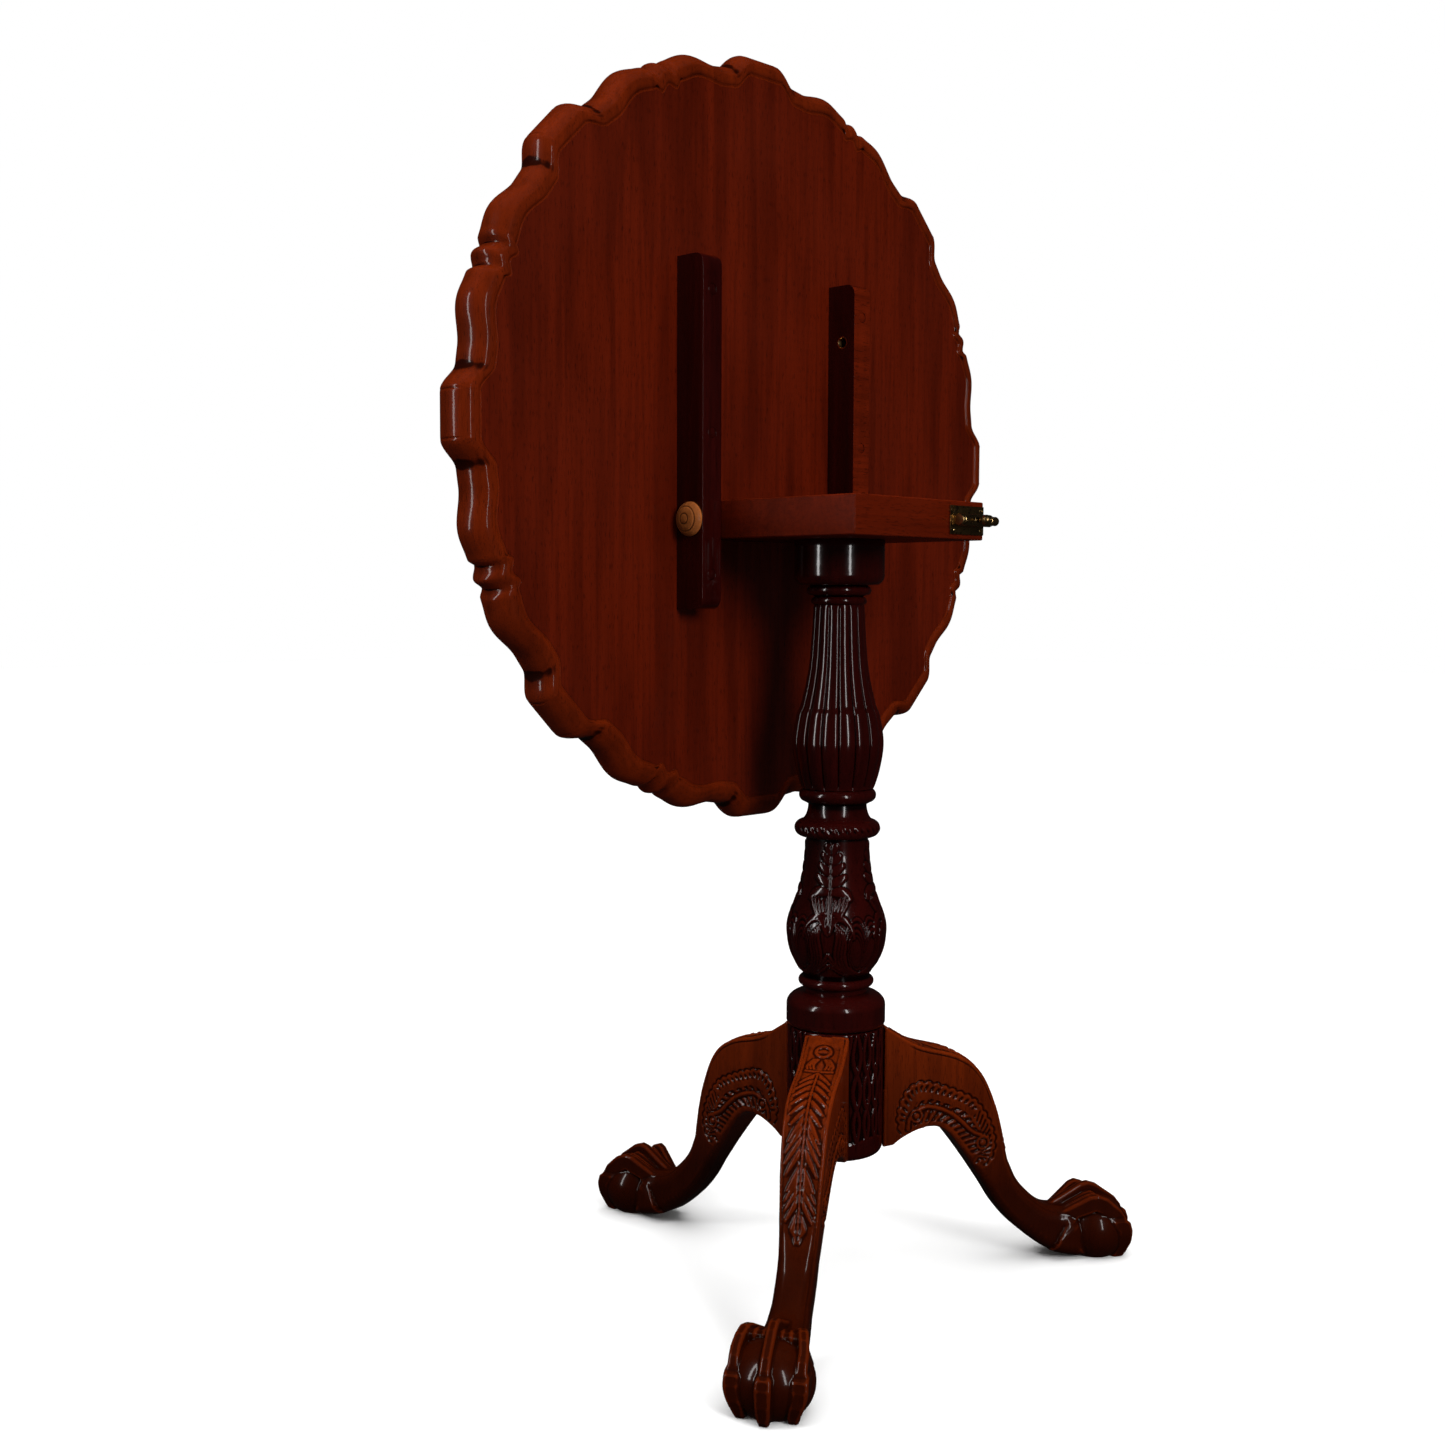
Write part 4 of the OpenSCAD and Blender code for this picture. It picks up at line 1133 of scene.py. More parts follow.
def lock_bolt():
    """Round brass bolt with a domed nose, waisted behind it where it has worn."""
    low, high = P.bolt_low, P.bolt_high
    r = (high[2] - low[2]) / 2
    x0, x1 = low[0], high[0]
    nose = [(r - 2 * (1 - math.cos(math.radians(a))), x1 - 2 * (1 - math.sin(math.radians(a))))
            for a in range(0, 91, 10)]
    rows = [(0, x0), (r - 0.3, x0), (r, x0 + 0.3), (r, x1 - 9), (r - 0.12, x1 - 7),
            (r - 0.12, x1 - 3)] + nose + [(0, x1)]
    bolt = lathe("lock_bolt", rows, (0, (low[1] + high[1]) / 2, P.pivot_z), "x", 64)
    return finish_piece(mark_relief(shade(bolt), 2, 0.2), finish("brass"), "brass", "latch_bolt")


def lock_knob():
    """Turned brass knob: stem, collar, neck and a ball with a small button."""
    low, high = P.knob_low, P.knob_high
    stem_x = (low[0] + high[0]) / 2
    ball = (high[0] - low[0]) / 2
    y_ball = low[1] + ball
    rows = [(0, high[1]), (1.75, high[1])]
    rows += [(1.75, y_ball + ball + 1.7), (2.7, y_ball + ball + 1.5), (2.7, y_ball + ball + 0.7),
             (1.9, y_ball + ball + 0.3), (1.9, y_ball + 0.93 * ball)]
    rows += [(ball * math.sin(math.radians(a)), y_ball + ball * math.cos(math.radians(a)))
             for a in range(30, 166, 9)]
    rows += [(1.3, low[1] + 0.35), (0.9, low[1] + 0.02), (0, low[1])]
    knob = lathe("lock_knob", rows, (stem_x, 0, P.pivot_z), "y", 56)
    return finish_piece(mark_relief(shade(knob), 3, 0.25), finish("brass"), "brass", "latch_knob")


def lock_spring():
    """Coil spring between the barrel's closed end and the bolt's tail."""
    low, high = P.spring_low, P.spring_high
    wire = 0.35
    radius = (high[2] - low[2]) / 2 - wire
    mesh = bpy.data.meshes.new("lock_spring")
    tree, sockets = coil_tree()
    coil = run_tree(piece_from("lock_spring", mesh), tree, sockets,
                    {"Turns": 6.0, "Coil radius": radius * MM,
                     "Coil length": (high[0] - low[0] - 2 * wire) * MM, "Wire radius": wire * MM,
                     "Material": finish("steel")})
    middle = (low[1] + high[1]) / 2
    coil.data.transform(Matrix.Translation((Vector((low[0] + wire, middle, P.pivot_z)) * MM))
                        @ Matrix.Rotation(math.pi / 2, 4, "Y"))
    finish_piece(shade(coil), finish("steel"), "steel", "latch_spring")
    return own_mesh(coil)


# ------------------------------------------------------------------ the pillar


def bead_rows(z, h, r, bulge=0.5, count=14):
    """Rows (radius, height) of a half-round member from z up to z + h, out to radius r."""
    a = np.linspace(-math.pi / 2, math.pi / 2, count)
    return np.column_stack([r - h * bulge * (1 - np.cos(a)), z + h / 2 * (1 + np.sin(a))])


def turned_unit(name, rows, columns, count, height_at=None):
    """Unit of a turned piece: rows swept through one repeat, each point moved out of the
    surface by height_at(azimuth in degrees from the unit's middle, z)."""
    rows = np.asarray(rows, float)
    half = 180.0 / count
    angle = np.linspace(-half, half, columns + 1)
    r = rows[:, :1] + 0 * angle
    z = rows[:, 1:] + 0 * angle
    if height_at is not None:
        tangent = np.gradient(rows, axis=0)
        length = np.linalg.norm(tangent, axis=1) + 1e-9
        raised = height_at(angle[None, :], z, r)
        r = r + raised * (tangent[:, 1] / length)[:, None]
        z = z - raised * (tangent[:, 0] / length)[:, None]
    a = np.radians(angle)
    points = np.stack([r * np.sin(a), -r * np.cos(a), z], axis=-1)
    return mesh_from_quads(name, points.reshape(-1, 3), grid_quads(len(rows), columns + 1))


class Heights:
    """Heights of the pillar's turned members, from its foot to the block."""

    def __init__(self, sizes):
        self.foot = P.pillar_low[2]
        self.base_top = self.foot + mm(sizes.base_height)
        self.drum_top = self.base_top + 18
        self.shoulder_top = self.drum_top + 14
        self.neck_ring = self.shoulder_top + 3
        self.urn = self.neck_ring + 9 + 4
        self.torus = self.urn + 122
        self.bell = self.torus + 15
        self.bead = self.bell + 16
        self.column = self.bead + 12.5
        self.collar = P.block_low[2] - 40
        self.top_ring = self.collar - 9
        self.low_ring = self.top_ring - 1 - 7.5


def pillar_base(sizes):
    """Base that the legs join: a plain foot, sunk panels with crossing stems, and the drum."""
    h = Heights(sizes)
    base, drum, neck = mm(sizes.base_radius), mm(sizes.drum_radius), mm(sizes.neck_radius)
    turn = np.radians(np.linspace(0, 90, 16))
    foot = np.column_stack([base - 6 + 6 * np.sin(turn), h.foot + 7 - 7 * np.cos(turn)])
    body = np.column_stack([np.full(100, base), np.linspace(h.foot + 7.5, h.base_top - 2.4, 100)])
    lip = np.array([(base - 0.5, h.base_top - 1.4), (base - 2.4, h.base_top - 0.8),
                    (base - 2.4, h.base_top), (drum - 2.2, h.base_top + 0.2),
                    (drum - 0.7, h.base_top + 1.2)])
    side = np.column_stack([np.full(14, drum), np.linspace(h.base_top + 3, h.drum_top - 1, 14)])
    shoulder = np.column_stack([neck + (drum - neck) * np.cos(turn),
                                h.drum_top + 12 * np.sin(turn)])
    top = [(neck, h.shoulder_top), (0, h.shoulder_top)]
    rows = np.vstack([[(0, h.foot), (base - 6.6, h.foot)], foot, body, lip, side, shoulder, top])
    low, high = h.foot + 16, h.base_top - 3

    def carving(angle, z, r):
        u = angle * math.pi / 180 * base
        edge = 26.0 - 4.0 * rise(high - 30, high, z)
        inside = rise(0, 1.2, edge - np.abs(u)) * rise(low, low + 1.4, z - 3 * np.cos(u / 13))
        inside = inside * (z < high + 1)
        panel = -1.3 * inside
        v = high - z
        stems = np.zeros_like(u)
        for lean in (-1, 1):
            for start in (-17.0, -6.0, 5.0, 16.0):
                route = [(start, -4), (start + 4 * lean, 0.22 * (high - low)),
                         (start - 4 * lean, 0.52 * (high - low)),
                         (start + 3 * lean, 0.80 * (high - low)), (start, high - low)]
                stems = np.maximum(stems, stroke(u + 0 * z, v, route, 2.1, 1.6, 0.8))
        frame_line = -0.7 * hump(np.abs(u) - edge - 2.6, 0.7) * rise(low - 4, low, z)
        return (panel + stems * inside + frame_line) * (z < high + 1) * (z > h.foot + 9)

    unit = turned_unit("Base unit", rows, 120, 3, carving)
    piece = wrap(repeat_round("pillar_base", unit, 3, finish("dark")))
    mark_relief(shade(piece, 50), 8, 0.3)
    return finish_piece(piece, finish("dark"), "mahogany_dark", "pillar")


def urn_leaves(u, v, height):
    """Height of one carved leaf of the urn at u across and v down from its tip, both in mm."""
    high = np.zeros_like(u)
    w = np.abs(u)
    lobes = [(5, 2.2), (13, 5.5), (22, 8.2), (32, 10.6)]
    for top, reach in lobes:
        route = [(0.8, top + 5.5), (0.55 * reach, top + 3.2), (reach + 1.2, top - 0.5)]
        high = np.maximum(high, stroke(w, v, route, 4.7, height, 0.7))
    shoulder = [(1.0, 45.0), (8.0, 43.5), (15.0, 46.0), (18.2, 50.0)]
    high = np.maximum(high, stroke(w, v, shoulder, 4.6, 1.25 * height, 0.5))
    for k in range(4):
        start, drop = 17.0 - 3.6 * k, 47.0 + 1.5 * k
        route = [(start, drop), (start - 2.2, drop + 9), (0.55 * start, drop + 19),
                 (0.25 * start + 0.6, 72 + 2.4 * k)]
        high = np.maximum(high, stroke(w, v, route, 2.0, (1.15 - 0.1 * k) * height, 0.45))
    for k in range(3):
        route = [(3.5 + 2.0 * k, 62 + 3 * k), (9.5 + 2.2 * k, 64 + 2.0 * k),
                 (16.5 + 2.4 * k, 68 + 3.2 * k), (20.5 + 1.6 * k, 75 + 4.2 * k)]
        high = np.maximum(high, stroke(w, v, route, 2.3, 1.2 * height, 0.5))
    for k in range(4):
        route = [(7.5 + 2.0 * k, 72 + 2.0 * k), (8.5 + 2.4 * k, 84 + 1.5 * k),
                 (6.5 + 2.6 * k, 97 + 1.0 * k), (8.0 + 2.9 * k, 108 + 0.6 * k),
                 (15.5 + 3.2 * k, 116.5)]
        high = np.maximum(high, stroke(w, v, route, 1.75, 1.1 * height, 0.75))
    for k in range(3):
        route = [(0.2, 98 + 5 * k), (5.0 + k, 105 + 4.2 * k), (14.0, 113.5 + 2.4 * k)]
        high = np.maximum(high, stroke(w, v, route, 1.7, height, 0.7))
    eye_u, eye_v = 25.5, 97.0
    ring = np.hypot((w - eye_u) / 0.62, (v - eye_v) * 0.62)
    ridges = 0.5 + 0.5 * np.cos(TAU * (ring - 15.6) / 3.1)
    around = rise(9.0, 10.2, ring) * (1 - rise(19.0, 20.5, ring)) * (v < 119)
    high = np.maximum(high, 0.85 * height * ridges * around)
    vein = 0.75 * hump(w, 0.7) * (v > 2) * (v < 80)
    rib = stroke(w, v, [(0, 3), (0, 40), (0, 80)], 2.4, 0.9 * height, 0.6)
    high = np.maximum(high, rib) - vein * height * 0.7
    return high


def carved_urn(sizes):
    """Neck ring, urn with four acanthus leaves, and the rippled ring above it."""
    h = Heights(sizes)
    urn_r, neck = mm(sizes.urn_radius), mm(sizes.neck_radius)
    ring_r, urn_h = 33.9, h.torus - h.urn
    urn = smooth_curve([(urn_r - 12, h.urn), (urn_r - 3, h.urn + 0.15 * urn_h),
                        (urn_r, h.urn + 0.28 * urn_h), (urn_r - 0.6, h.urn + 0.38 * urn_h),
                        (urn_r - 6.2, h.urn + 0.52 * urn_h), (neck + 4, h.urn + 0.67 * urn_h),
                        (neck + 0.6, h.urn + 0.86 * urn_h), (neck, h.torus)], 12)
    rows = np.vstack([
        [(0, h.shoulder_top - 0.2), (neck - 0.1, h.shoulder_top - 0.2),
         (neck - 0.1, h.neck_ring - 0.8), (neck + 1.2, h.neck_ring - 0.2)],
        bead_rows(h.neck_ring, 9, ring_r)[1:], [(urn_r - 13.0, h.urn - 0.8)],
        evenly(urn, 0.72), bead_rows(h.torus, 15, neck + 10.7, 0.5, 26)[1:-1],
        [(neck - 0.6, h.bell), (0, h.bell)]])
    leaf = mm(sizes.leaf_height)

    def carving(angle, z, r):
        u = angle * math.pi / 180 * (r + 0 * angle)
        v = h.torus - 2.0 - z
        body = rise(h.urn, h.urn + 3, z) * (1 - rise(h.torus - 3, h.torus - 1, z))
        leaves = urn_leaves(u, v, leaf) * body
        mid = hump(z - (h.torus + 7.5), 3.4)
        wave = np.cos(np.radians(angle) * 32 + 0.35 * (z - h.torus)) * mid
        return leaves * 0.9 + 0.75 * wave - 0.5 * mid

    unit = turned_unit("Urn unit", rows, 112, 4, carving)
    piece = wrap(repeat_round("carved_urn", unit, 4, finish("dark")))
    piece.data.transform(Matrix.Rotation(math.radians(URN_TURN), 4, "Z"))
    mark_relief(shade(piece, 50), 8, 0.3)
    return finish_piece(piece, finish("dark"), "mahogany_dark", "pillar")


FIRST_GROOVE = -48.8
URN_TURN = -60


def reeded_column(sizes):
    """Bell and bead, the reeded column, its rings, the collar and the tenon."""
    h = Heights(sizes)
    neck, wide, slim = mm(sizes.neck_radius), mm(sizes.column_radius), mm(sizes.column_top)
    collar_r, tall = mm(sizes.collar_radius), h.low_ring - h.column
    turn = np.radians(np.linspace(0, 90, 14))
    bell = np.column_stack([neck - 1.6 + 6.6 * (1 - np.sin(turn)),
                            h.bell + 16 * (1 - np.cos(turn))])
    column = smooth_curve([(wide - 8.3, h.column), (wide - 3, h.column + 0.11 * tall),
                           (wide, h.column + 0.25 * tall), (wide - 3.6, h.column + 0.40 * tall),
                           (slim + 10.4, h.column + 0.47 * tall),
                           (slim + 3.6, h.column + 0.68 * tall), (slim, h.low_ring)], 12)
    under = np.column_stack([collar_r - 8 * (1 - np.cos(turn[::-1])),
                             h.collar + 9 - 9 * np.sin(turn[::-1])])
    side = np.column_stack([np.full(6, collar_r),
                            np.linspace(h.collar + 11, P.block_low[2] - 0.6, 6)])
    tenon_r = P.tenon_r
    rows = np.vstack([
        [(0, h.bell), (neck + 4.4, h.bell)], bell[1:-1], bead_rows(h.bead, 12.5, 34.5)[1:],
        evenly(column, 1.9), bead_rows(h.low_ring, 7.5, slim + 2.5)[1:],
        bead_rows(h.top_ring, 9, slim + 6.4), [(slim + 4.0, h.collar)], under[1:], side,
        [(collar_r - 0.6, P.block_low[2]), (tenon_r - 0.1, P.block_low[2]),
         (tenon_r - 0.1, P.block_high[2] - 0.7), (tenon_r - 0.7, P.block_high[2] - 0.1),
         (0, P.block_high[2] - 0.1)]])
    count = sizes.reeds

    def carving(angle, z, r):
        t = np.abs(angle) / (180.0 / count)
        width = TAU * r / count
        lobe = -width * (0.10 * t**2.2 + 0.085 * t**12)
        ends = rise(h.column, h.column + 3.5, z) * (1 - rise(h.low_ring - 2.5, h.low_ring, z))
        return (lobe + 0.35) * ends

    unit = turned_unit("Reed unit", rows, 20, count, carving)
    piece = wrap(repeat_round("reeded_column", unit, count, finish("dark")))
    piece.data.transform(Matrix.Rotation(math.radians(FIRST_GROOVE + 180.0 / count), 4, "Z"))
    mark_relief(shade(piece, 50), 6, 0.8)
    return finish_piece(piece, finish("dark"), "mahogany_dark", "pillar")


# ------------------------------------------------------------------ the legs

LEG_TALL = 235.0

# A leg's outline in its own upright plane, as shares of its reach and of its height
LEG_FRONT = [(0, 1), (0.03, 0.978), (0.15, 0.915), (0.32, 0.868), (0.425, 0.795), (0.50, 0.655),
             (0.553, 0.49), (0.583, 0.40), (0.638, 0.312), (0.75, 0.223), (0.86, 0.194),
             (0.93, 0.117)]
LEG_BACK = [(0.88, 0.01), (0.755, 0.045), (0.615, 0.142), (0.527, 0.232), (0.461, 0.328),
            (0.384, 0.436), (0.321, 0.517), (0.275, 0.564), (0.225, 0.589), (0.151, 0.587),
            (0.076, 0.560), (0.03, 0.532)]
LEG_AZIMUTHS = [("front_left_cabriole", "leg_front_left", -60.0),
                ("front_right_cabriole", "leg_front_right", 60.0),
                ("rear_cabriole", "leg_rear", 180.0)]


def nearest_on(path, r, z):
    """Distance from points to a path, and the length along it of the nearest spot."""
    s = lengths_along(path)
    best = np.full(r.shape, 1e9)
    along = np.zeros(r.shape)
    for k in range(len(path) - 1):
        (x0, y0), (x1, y1) = path[k], path[k + 1]
        dx, dy = x1 - x0, y1 - y0
        t = np.clip(((r - x0) * dx + (z - y0) * dy) / (dx * dx + dy * dy + 1e-12), 0, 1)
        away = np.hypot(r - x0 - t * dx, z - y0 - t * dy)
        closer = away < best
        best = np.where(closer, away, best)
        along = np.where(closer, s[k] + t * (s[k + 1] - s[k]), along)
    return best, along


def inside_outline(path, r, z):
    """True for points inside a closed outline."""
    inside = np.zeros(r.shape, bool)
    for (x0, y0), (x1, y1) in zip(path, np.roll(path, -1, axis=0)):
        if y0 == y1:
            continue
        crosses = (z > min(y0, y1)) & (z <= max(y0, y1))
        inside ^= crosses & (r < x0 + (z - y0) * (x1 - x0) / (y1 - y0))
    return inside


def front_leaves(s, y, height):
    """Carving of a leg's front face at length s down from its top and y across."""
    w = np.abs(y)
    high = stroke(w, s, [(0, 12), (4.5, 14), (6.5, 19), (3, 23), (0, 24)], 1.6, 0.9 * height, 0.8)
    high = np.maximum(high, stroke(w, s, [(0, 17), (4, 18.5)], 2.2, 0.7 * height, 0.6))
    for k in range(3):
        route = [(3 + 2 * k, 27), (6 + 2.6 * k, 33 + k), (5 + 2.8 * k, 39)]
        high = np.maximum(high, stroke(w, s, route,
                                       1.5, 0.6 * height, 0.6))
    bar = [(0, 43.5), (7, 43.0), (12, 42.0)]
    high = np.maximum(high, stroke(w, s, bar, 1.3, 0.8 * height, 0.8))
    tiers = [(47.0, 6, 9.5, 14.5, 15.0), (100.0, 4, 9.0, 14.5, 24.0), (143.0, 4, 8.0, 12.5, 21.0)]
    for top, pairs, gap, wide, drop in tiers:
        for k in range(pairs):
            begin = top + gap * k
            reach = wide * (0.82 + 0.18 * math.sin(math.pi * (k + 0.5) / pairs))
            route = [(0.9, begin), (0.30 * reach, begin + 0.30 * drop),
                     (0.72 * reach, begin + 0.72 * drop), (reach, begin + drop)]
            high = np.maximum(high, stroke(w, s, route, 2.2, 1.25 * height, 0.4, 0.35))
    for k in range(3):
        route = [(0.4, 180 + 3 * k), (3.2 + k, 189 + 2 * k), (1.2, 204 - 2 * k)]
        high = np.maximum(high, stroke(w, s, route, 2.0, 0.8 * height, 0.5))
    rib = stroke(w, s, [(0, 46), (0, 120), (0, 198)], 1.1, 0.9 * height, 0.7)
    beside = 0.9 * height * hump(w - 1.7, 0.6)
    high = np.maximum(high, rib) - beside * rise(46, 50, s) * (1 - rise(192, 200, s))
    sunk = 0.7 * rise(8, 14, s) * (1 - rise(196, 210, s)) * (1 - rise(13.5, 16.5, w))
    return high - sunk


# Lines of the side carving: out from the pillar's axis and up from the floor
SHELL_EDGE = [(56, 136), (53.5, 153), (62, 174), (76, 181), (93, 177.5), (113, 169.5), (130, 160),
              (143.7, 141), (150.4, 121.5), (147.5, 106), (140, 99)]
SHELL_SCROLL = [(63.5, 139), (66, 150), (79, 158), (93, 156), (106.5, 149.5), (117, 141),
                (127, 131.5), (137, 126.5), (143, 124)]


def scalloped(path, pitch, depth):
    """Path with small arches of a given pitch thrown up on its left side."""
    points = evenly(smooth_curve(path, 8), 0.9)
    tangent = np.gradient(points, axis=0)
    tangent /= np.linalg.norm(tangent, axis=1)[:, None]
    swell = depth * np.abs(np.sin(math.pi * lengths_along(points) / pitch))
    return points + swell[:, None] * np.column_stack([-tangent[:, 1], tangent[:, 0]])


def side_shells(r, z, back, along, front):
    """Carving of a leg's side round its arch: wavy edge, gouges, scroll and fan of flutes."""
    plain = smooth_curve(SHELL_EDGE, 6)
    closed = np.vstack([plain, [(118, 104), (100, 134), (82, 141), (62, 134)]])
    inside = np.where(inside_outline(closed, r, z), 1.0, 0.0)
    edge, _ = nearest_on(scalloped(SHELL_EDGE, 8.5, 1.8), r, z)
    to_plain, s = nearest_on(plain, r, z)
    high = -1.5 * hump(edge, 0.95)
    pits = (0.5 + 0.5 * np.cos(TAU * (s + 0.4 * to_plain) / 6.4)) ** 1.5
    gouges = 1.7 * pits * hump(to_plain - 5.2, 2.4) * inside
    high = high - gouges * rise(6, 12, s) * (1 - rise(118, 124, s))
    scroll, _ = nearest_on(smooth_curve(SHELL_SCROLL, 6), r, z)
    high = high + 0.9 * hump(scroll, 1.5) - 1.2 * hump(scroll - 2.6, 0.9)
    below = inside * (scroll > 3.2) * (to_plain > 14)
    fan = 0.5 + 0.5 * np.cos(TAU * (along + 0.45 * back) / 5.4)
    high = high - 1.8 * fan**0.8 * below * rise(4.5, 6.5, back) * (1 - rise(24, 27, back))
    tail = (0.5 + 0.5 * np.cos(TAU * (s - 0.9 * to_plain) / 5.6)) ** 1.3
    end_cuts = 1.4 * tail * inside * rise(124, 127, s)
    high = high - end_cuts * rise(2, 3, to_plain) * (1 - rise(10, 12, to_plain))
    for cr, cz, size in ((71.5, 150.5, 5.6), (138.5, 119.5, 6.0)):
        ring = np.hypot(r - cr, z - cz)
        near = 1 - rise(size, size + 1.2, ring)
        high = high * (1 - near) + near * (1.0 - 1.9 * hump(ring - 0.62 * size, 1.1))
    return high - 0.55 * hump(front - 4.2, 0.7) * rise(60, 72, r + 0 * z)


def melt(a, b, k):
    """Union of two distance fields with a fillet of about k."""
    h = np.clip(0.5 + 0.5 * (b - a) / k, 0, 1)
    return b + (a - b) * h - k * h * (1 - h)


def crossing(a, b, k):
    """What two distance fields share, with its edge rounded to radius k."""
    return np.minimum(np.maximum(a, b) + k, 0) + np.hypot(np.maximum(a + k, 0),
                                                          np.maximum(b + k, 0)) - k


def flat_distance(outline, r, z):
    """Distance to a closed outline, below 0 inside it."""
    closed = np.vstack([outline, outline[:1]])
    away, _ = nearest_on(closed, r, z)
    return np.where(inside_outline(outline, r, z), -away, away)


# Side views of the toes, from the ball's middle outwards and up from the floor
MIDDLE_TOE = [(-66, 26), (-58, 44), (-47, 50), (-14, 66), (-6, 67.2), (3, 64), (22, 50.5),
              (28, 43), (29.3, 39.5), (33.2, 37), (35.6, 30), (36, 17), (33, 5), (27, -3),
              (8, -3), (-20, 20)]
SIDE_TOE = [(-60, 22), (-50, 38), (-42, 44.5), (-15, 60), (-7, 61.5), (2, 58), (15, 46.5),
            (19, 40), (20.3, 37), (24, 34.5), (26, 27), (26.3, 15), (23, 4), (18, -3),
            (8, -3), (13, 10), (11, 26), (2, 40), (-9, 46), (-24, 40), (-46, 24)]
WEB = [(-62, 20), (-52, 40), (-40, 46), (-13, 58.5), (-6, 60), (-1.5, 57.5), (-1, 53), (-6, 30),
       (-40, 20)]


def foot_field(r, y, z, sizes):
    """Distance field of a ball held by three strapped toes with webs between them."""
    out = r - mm(sizes.stance)
    ball = mm(sizes.ball_radius) / 33.0
    flat_r, flat_z = np.meshgrid(out, z, indexing="ij")
    yy = y[None, :, None]
    long, high = flat_r[:, None, :], flat_z[:, None, :]
    near = np.sqrt((long / 30.5) ** 2 + (yy / 34.2) ** 2 + ((high - 24) / 31.5) ** 2)
    field = (near - ball) * 31.0
    wide = np.interp(z, [0, 10, 28, 36, 40, 70], [4.0, 5.6, 6.6, 6.2, 4.3, 4.0])[None, None, :]
    toe = crossing(flat_distance(np.array(MIDDLE_TOE), flat_r, flat_z)[:, None, :],
                   np.abs(yy) - wide, 2.0)
    path = np.interp(out, [-62, -45, -10, 8, 26], [4, 10.5, 22.5, 26.5, 26.5])[:, None, None]
    path = path * (1 - 0.22 * (1 - rise(0, 26, high)))
    side = flat_distance(np.array(SIDE_TOE), flat_r, flat_z)[:, None, :]
    toe = np.minimum(toe, crossing(side, np.abs(np.abs(yy) - path) - wide, 2.0))
    web = flat_distance(np.array(WEB), flat_r, flat_z)[:, None, :]
    grooves = 0.8 * np.cos(TAU * np.abs(yy) / (0.25 * path + 1.0)) * rise(-52, -40, long)
    web = crossing(web + 0.8 - grooves, np.abs(yy) - path, 1.5)
    return melt(melt(field, web, 1.0), toe, 1.6)


def leg_field(r, y, z, sizes):
    """Distance field of one leg on a grid: r outwards, y across and z up."""
    base = mm(bpy.context.scene.table_pillar_sizes.base_radius)
    reach, tall = mm(sizes.stance) - base, LEG_TALL
    to_leg = np.array([reach, tall])
    front = smooth_curve(np.array(LEG_FRONT) * to_leg + [base, 0], 8)
    front = np.vstack([[(base, tall)], front[2:]])
    back = smooth_curve(np.array(LEG_BACK) * to_leg + [base, 0], 8)
    seat = np.array([(base - 3, back[-1][1] - 1.0), (base - 3, tall)])
    outline = np.vstack([front, [(base + 0.93 * reach, 2.0)], back, seat])
    rr, zz = np.meshgrid(r, z, indexing="ij")
    to_front, s = nearest_on(front, rr, zz)
    to_back, along = nearest_on(back, rr, zz)
    to_seat, _ = nearest_on(np.vstack([back[-1:], seat, front[:1]]), rr, zz)
    to_end, _ = nearest_on(np.array([front[-1], (base + 0.93 * reach, 2.0), back[0]]), rr, zz)
    flat = np.minimum(np.minimum(to_front, to_back), np.minimum(to_seat, to_end))
    flat = np.where(inside_outline(outline, rr, zz), -flat, flat)
    knee, ankle = mm(sizes.knee_width) / 2, mm(sizes.ankle_width) / 2
    half = np.interp(s, [0, 95, 150, 215, 250, 275, 300],
                     [knee, knee, 0.93 * knee, ankle, ankle, 1.15 * ankle, 1.5 * ankle])
    soft = np.interp(s, [0, 120, 170, 215, 260], [2.2, 2.4, 4.0, 9.0, 11.0])
    shells = side_shells(rr, zz, to_back, along, to_front)
    yy = y[None, :, None]
    on_front = (to_front < to_back)[:, None, :]
    span = np.linspace(0, 330, 661)
    across = np.linspace(0, 24, 97)
    leaf = front_leaves(span[:, None] + 0 * across[None, :], across[None, :] + 0 * span[:, None],
                        mm(sizes.carving))
    si = np.clip(s / 0.5, 0, 659)
    s0 = si.astype(int)
    sf = (si - s0)[:, None, :]
    yi = np.clip(np.abs(y) / 0.25, 0, 95)
    y0 = yi.astype(int)
    yf = (yi - y0)[None, :, None]
    a = leaf[s0][:, :, y0].transpose(0, 2, 1)
    b = leaf[s0 + 1][:, :, y0].transpose(0, 2, 1)
    c = leaf[s0][:, :, y0 + 1].transpose(0, 2, 1)
    d = leaf[s0 + 1][:, :, y0 + 1].transpose(0, 2, 1)
    raised = (a * (1 - sf) + b * sf) * (1 - yf) + (c * (1 - sf) + d * sf) * yf
    edge = half[:, None, :] - np.abs(yy)
    bead = -0.5 * hump(edge - 3.3, 0.7) + 0.25 * hump(edge - 1.6, 1.0)
    bead = bead * (1 - rise(215, 240, s))[:, None, :]
    crown = 0.9 * (1 - (yy / half[:, None, :]) ** 2)
    face = flat[:, None, :] - np.where(on_front, raised + bead + crown - 0.9, 0.0)
    side = np.abs(yy) - half[:, None, :] - shells[:, None, :]
    shaft = crossing(face, side, soft[:, None, :])
    field = np.maximum(shaft, (base - 0.05) - np.hypot(r[:, None, None], yy))
    near = r > mm(sizes.stance) - 70
    low = z < 78
    block = np.ix_(near, np.ones(len(y), bool), low)
    field[block] = melt(field[block], foot_field(r[near], y, z[low], sizes), 2.0)
    return np.maximum(field, -z[None, None, :])


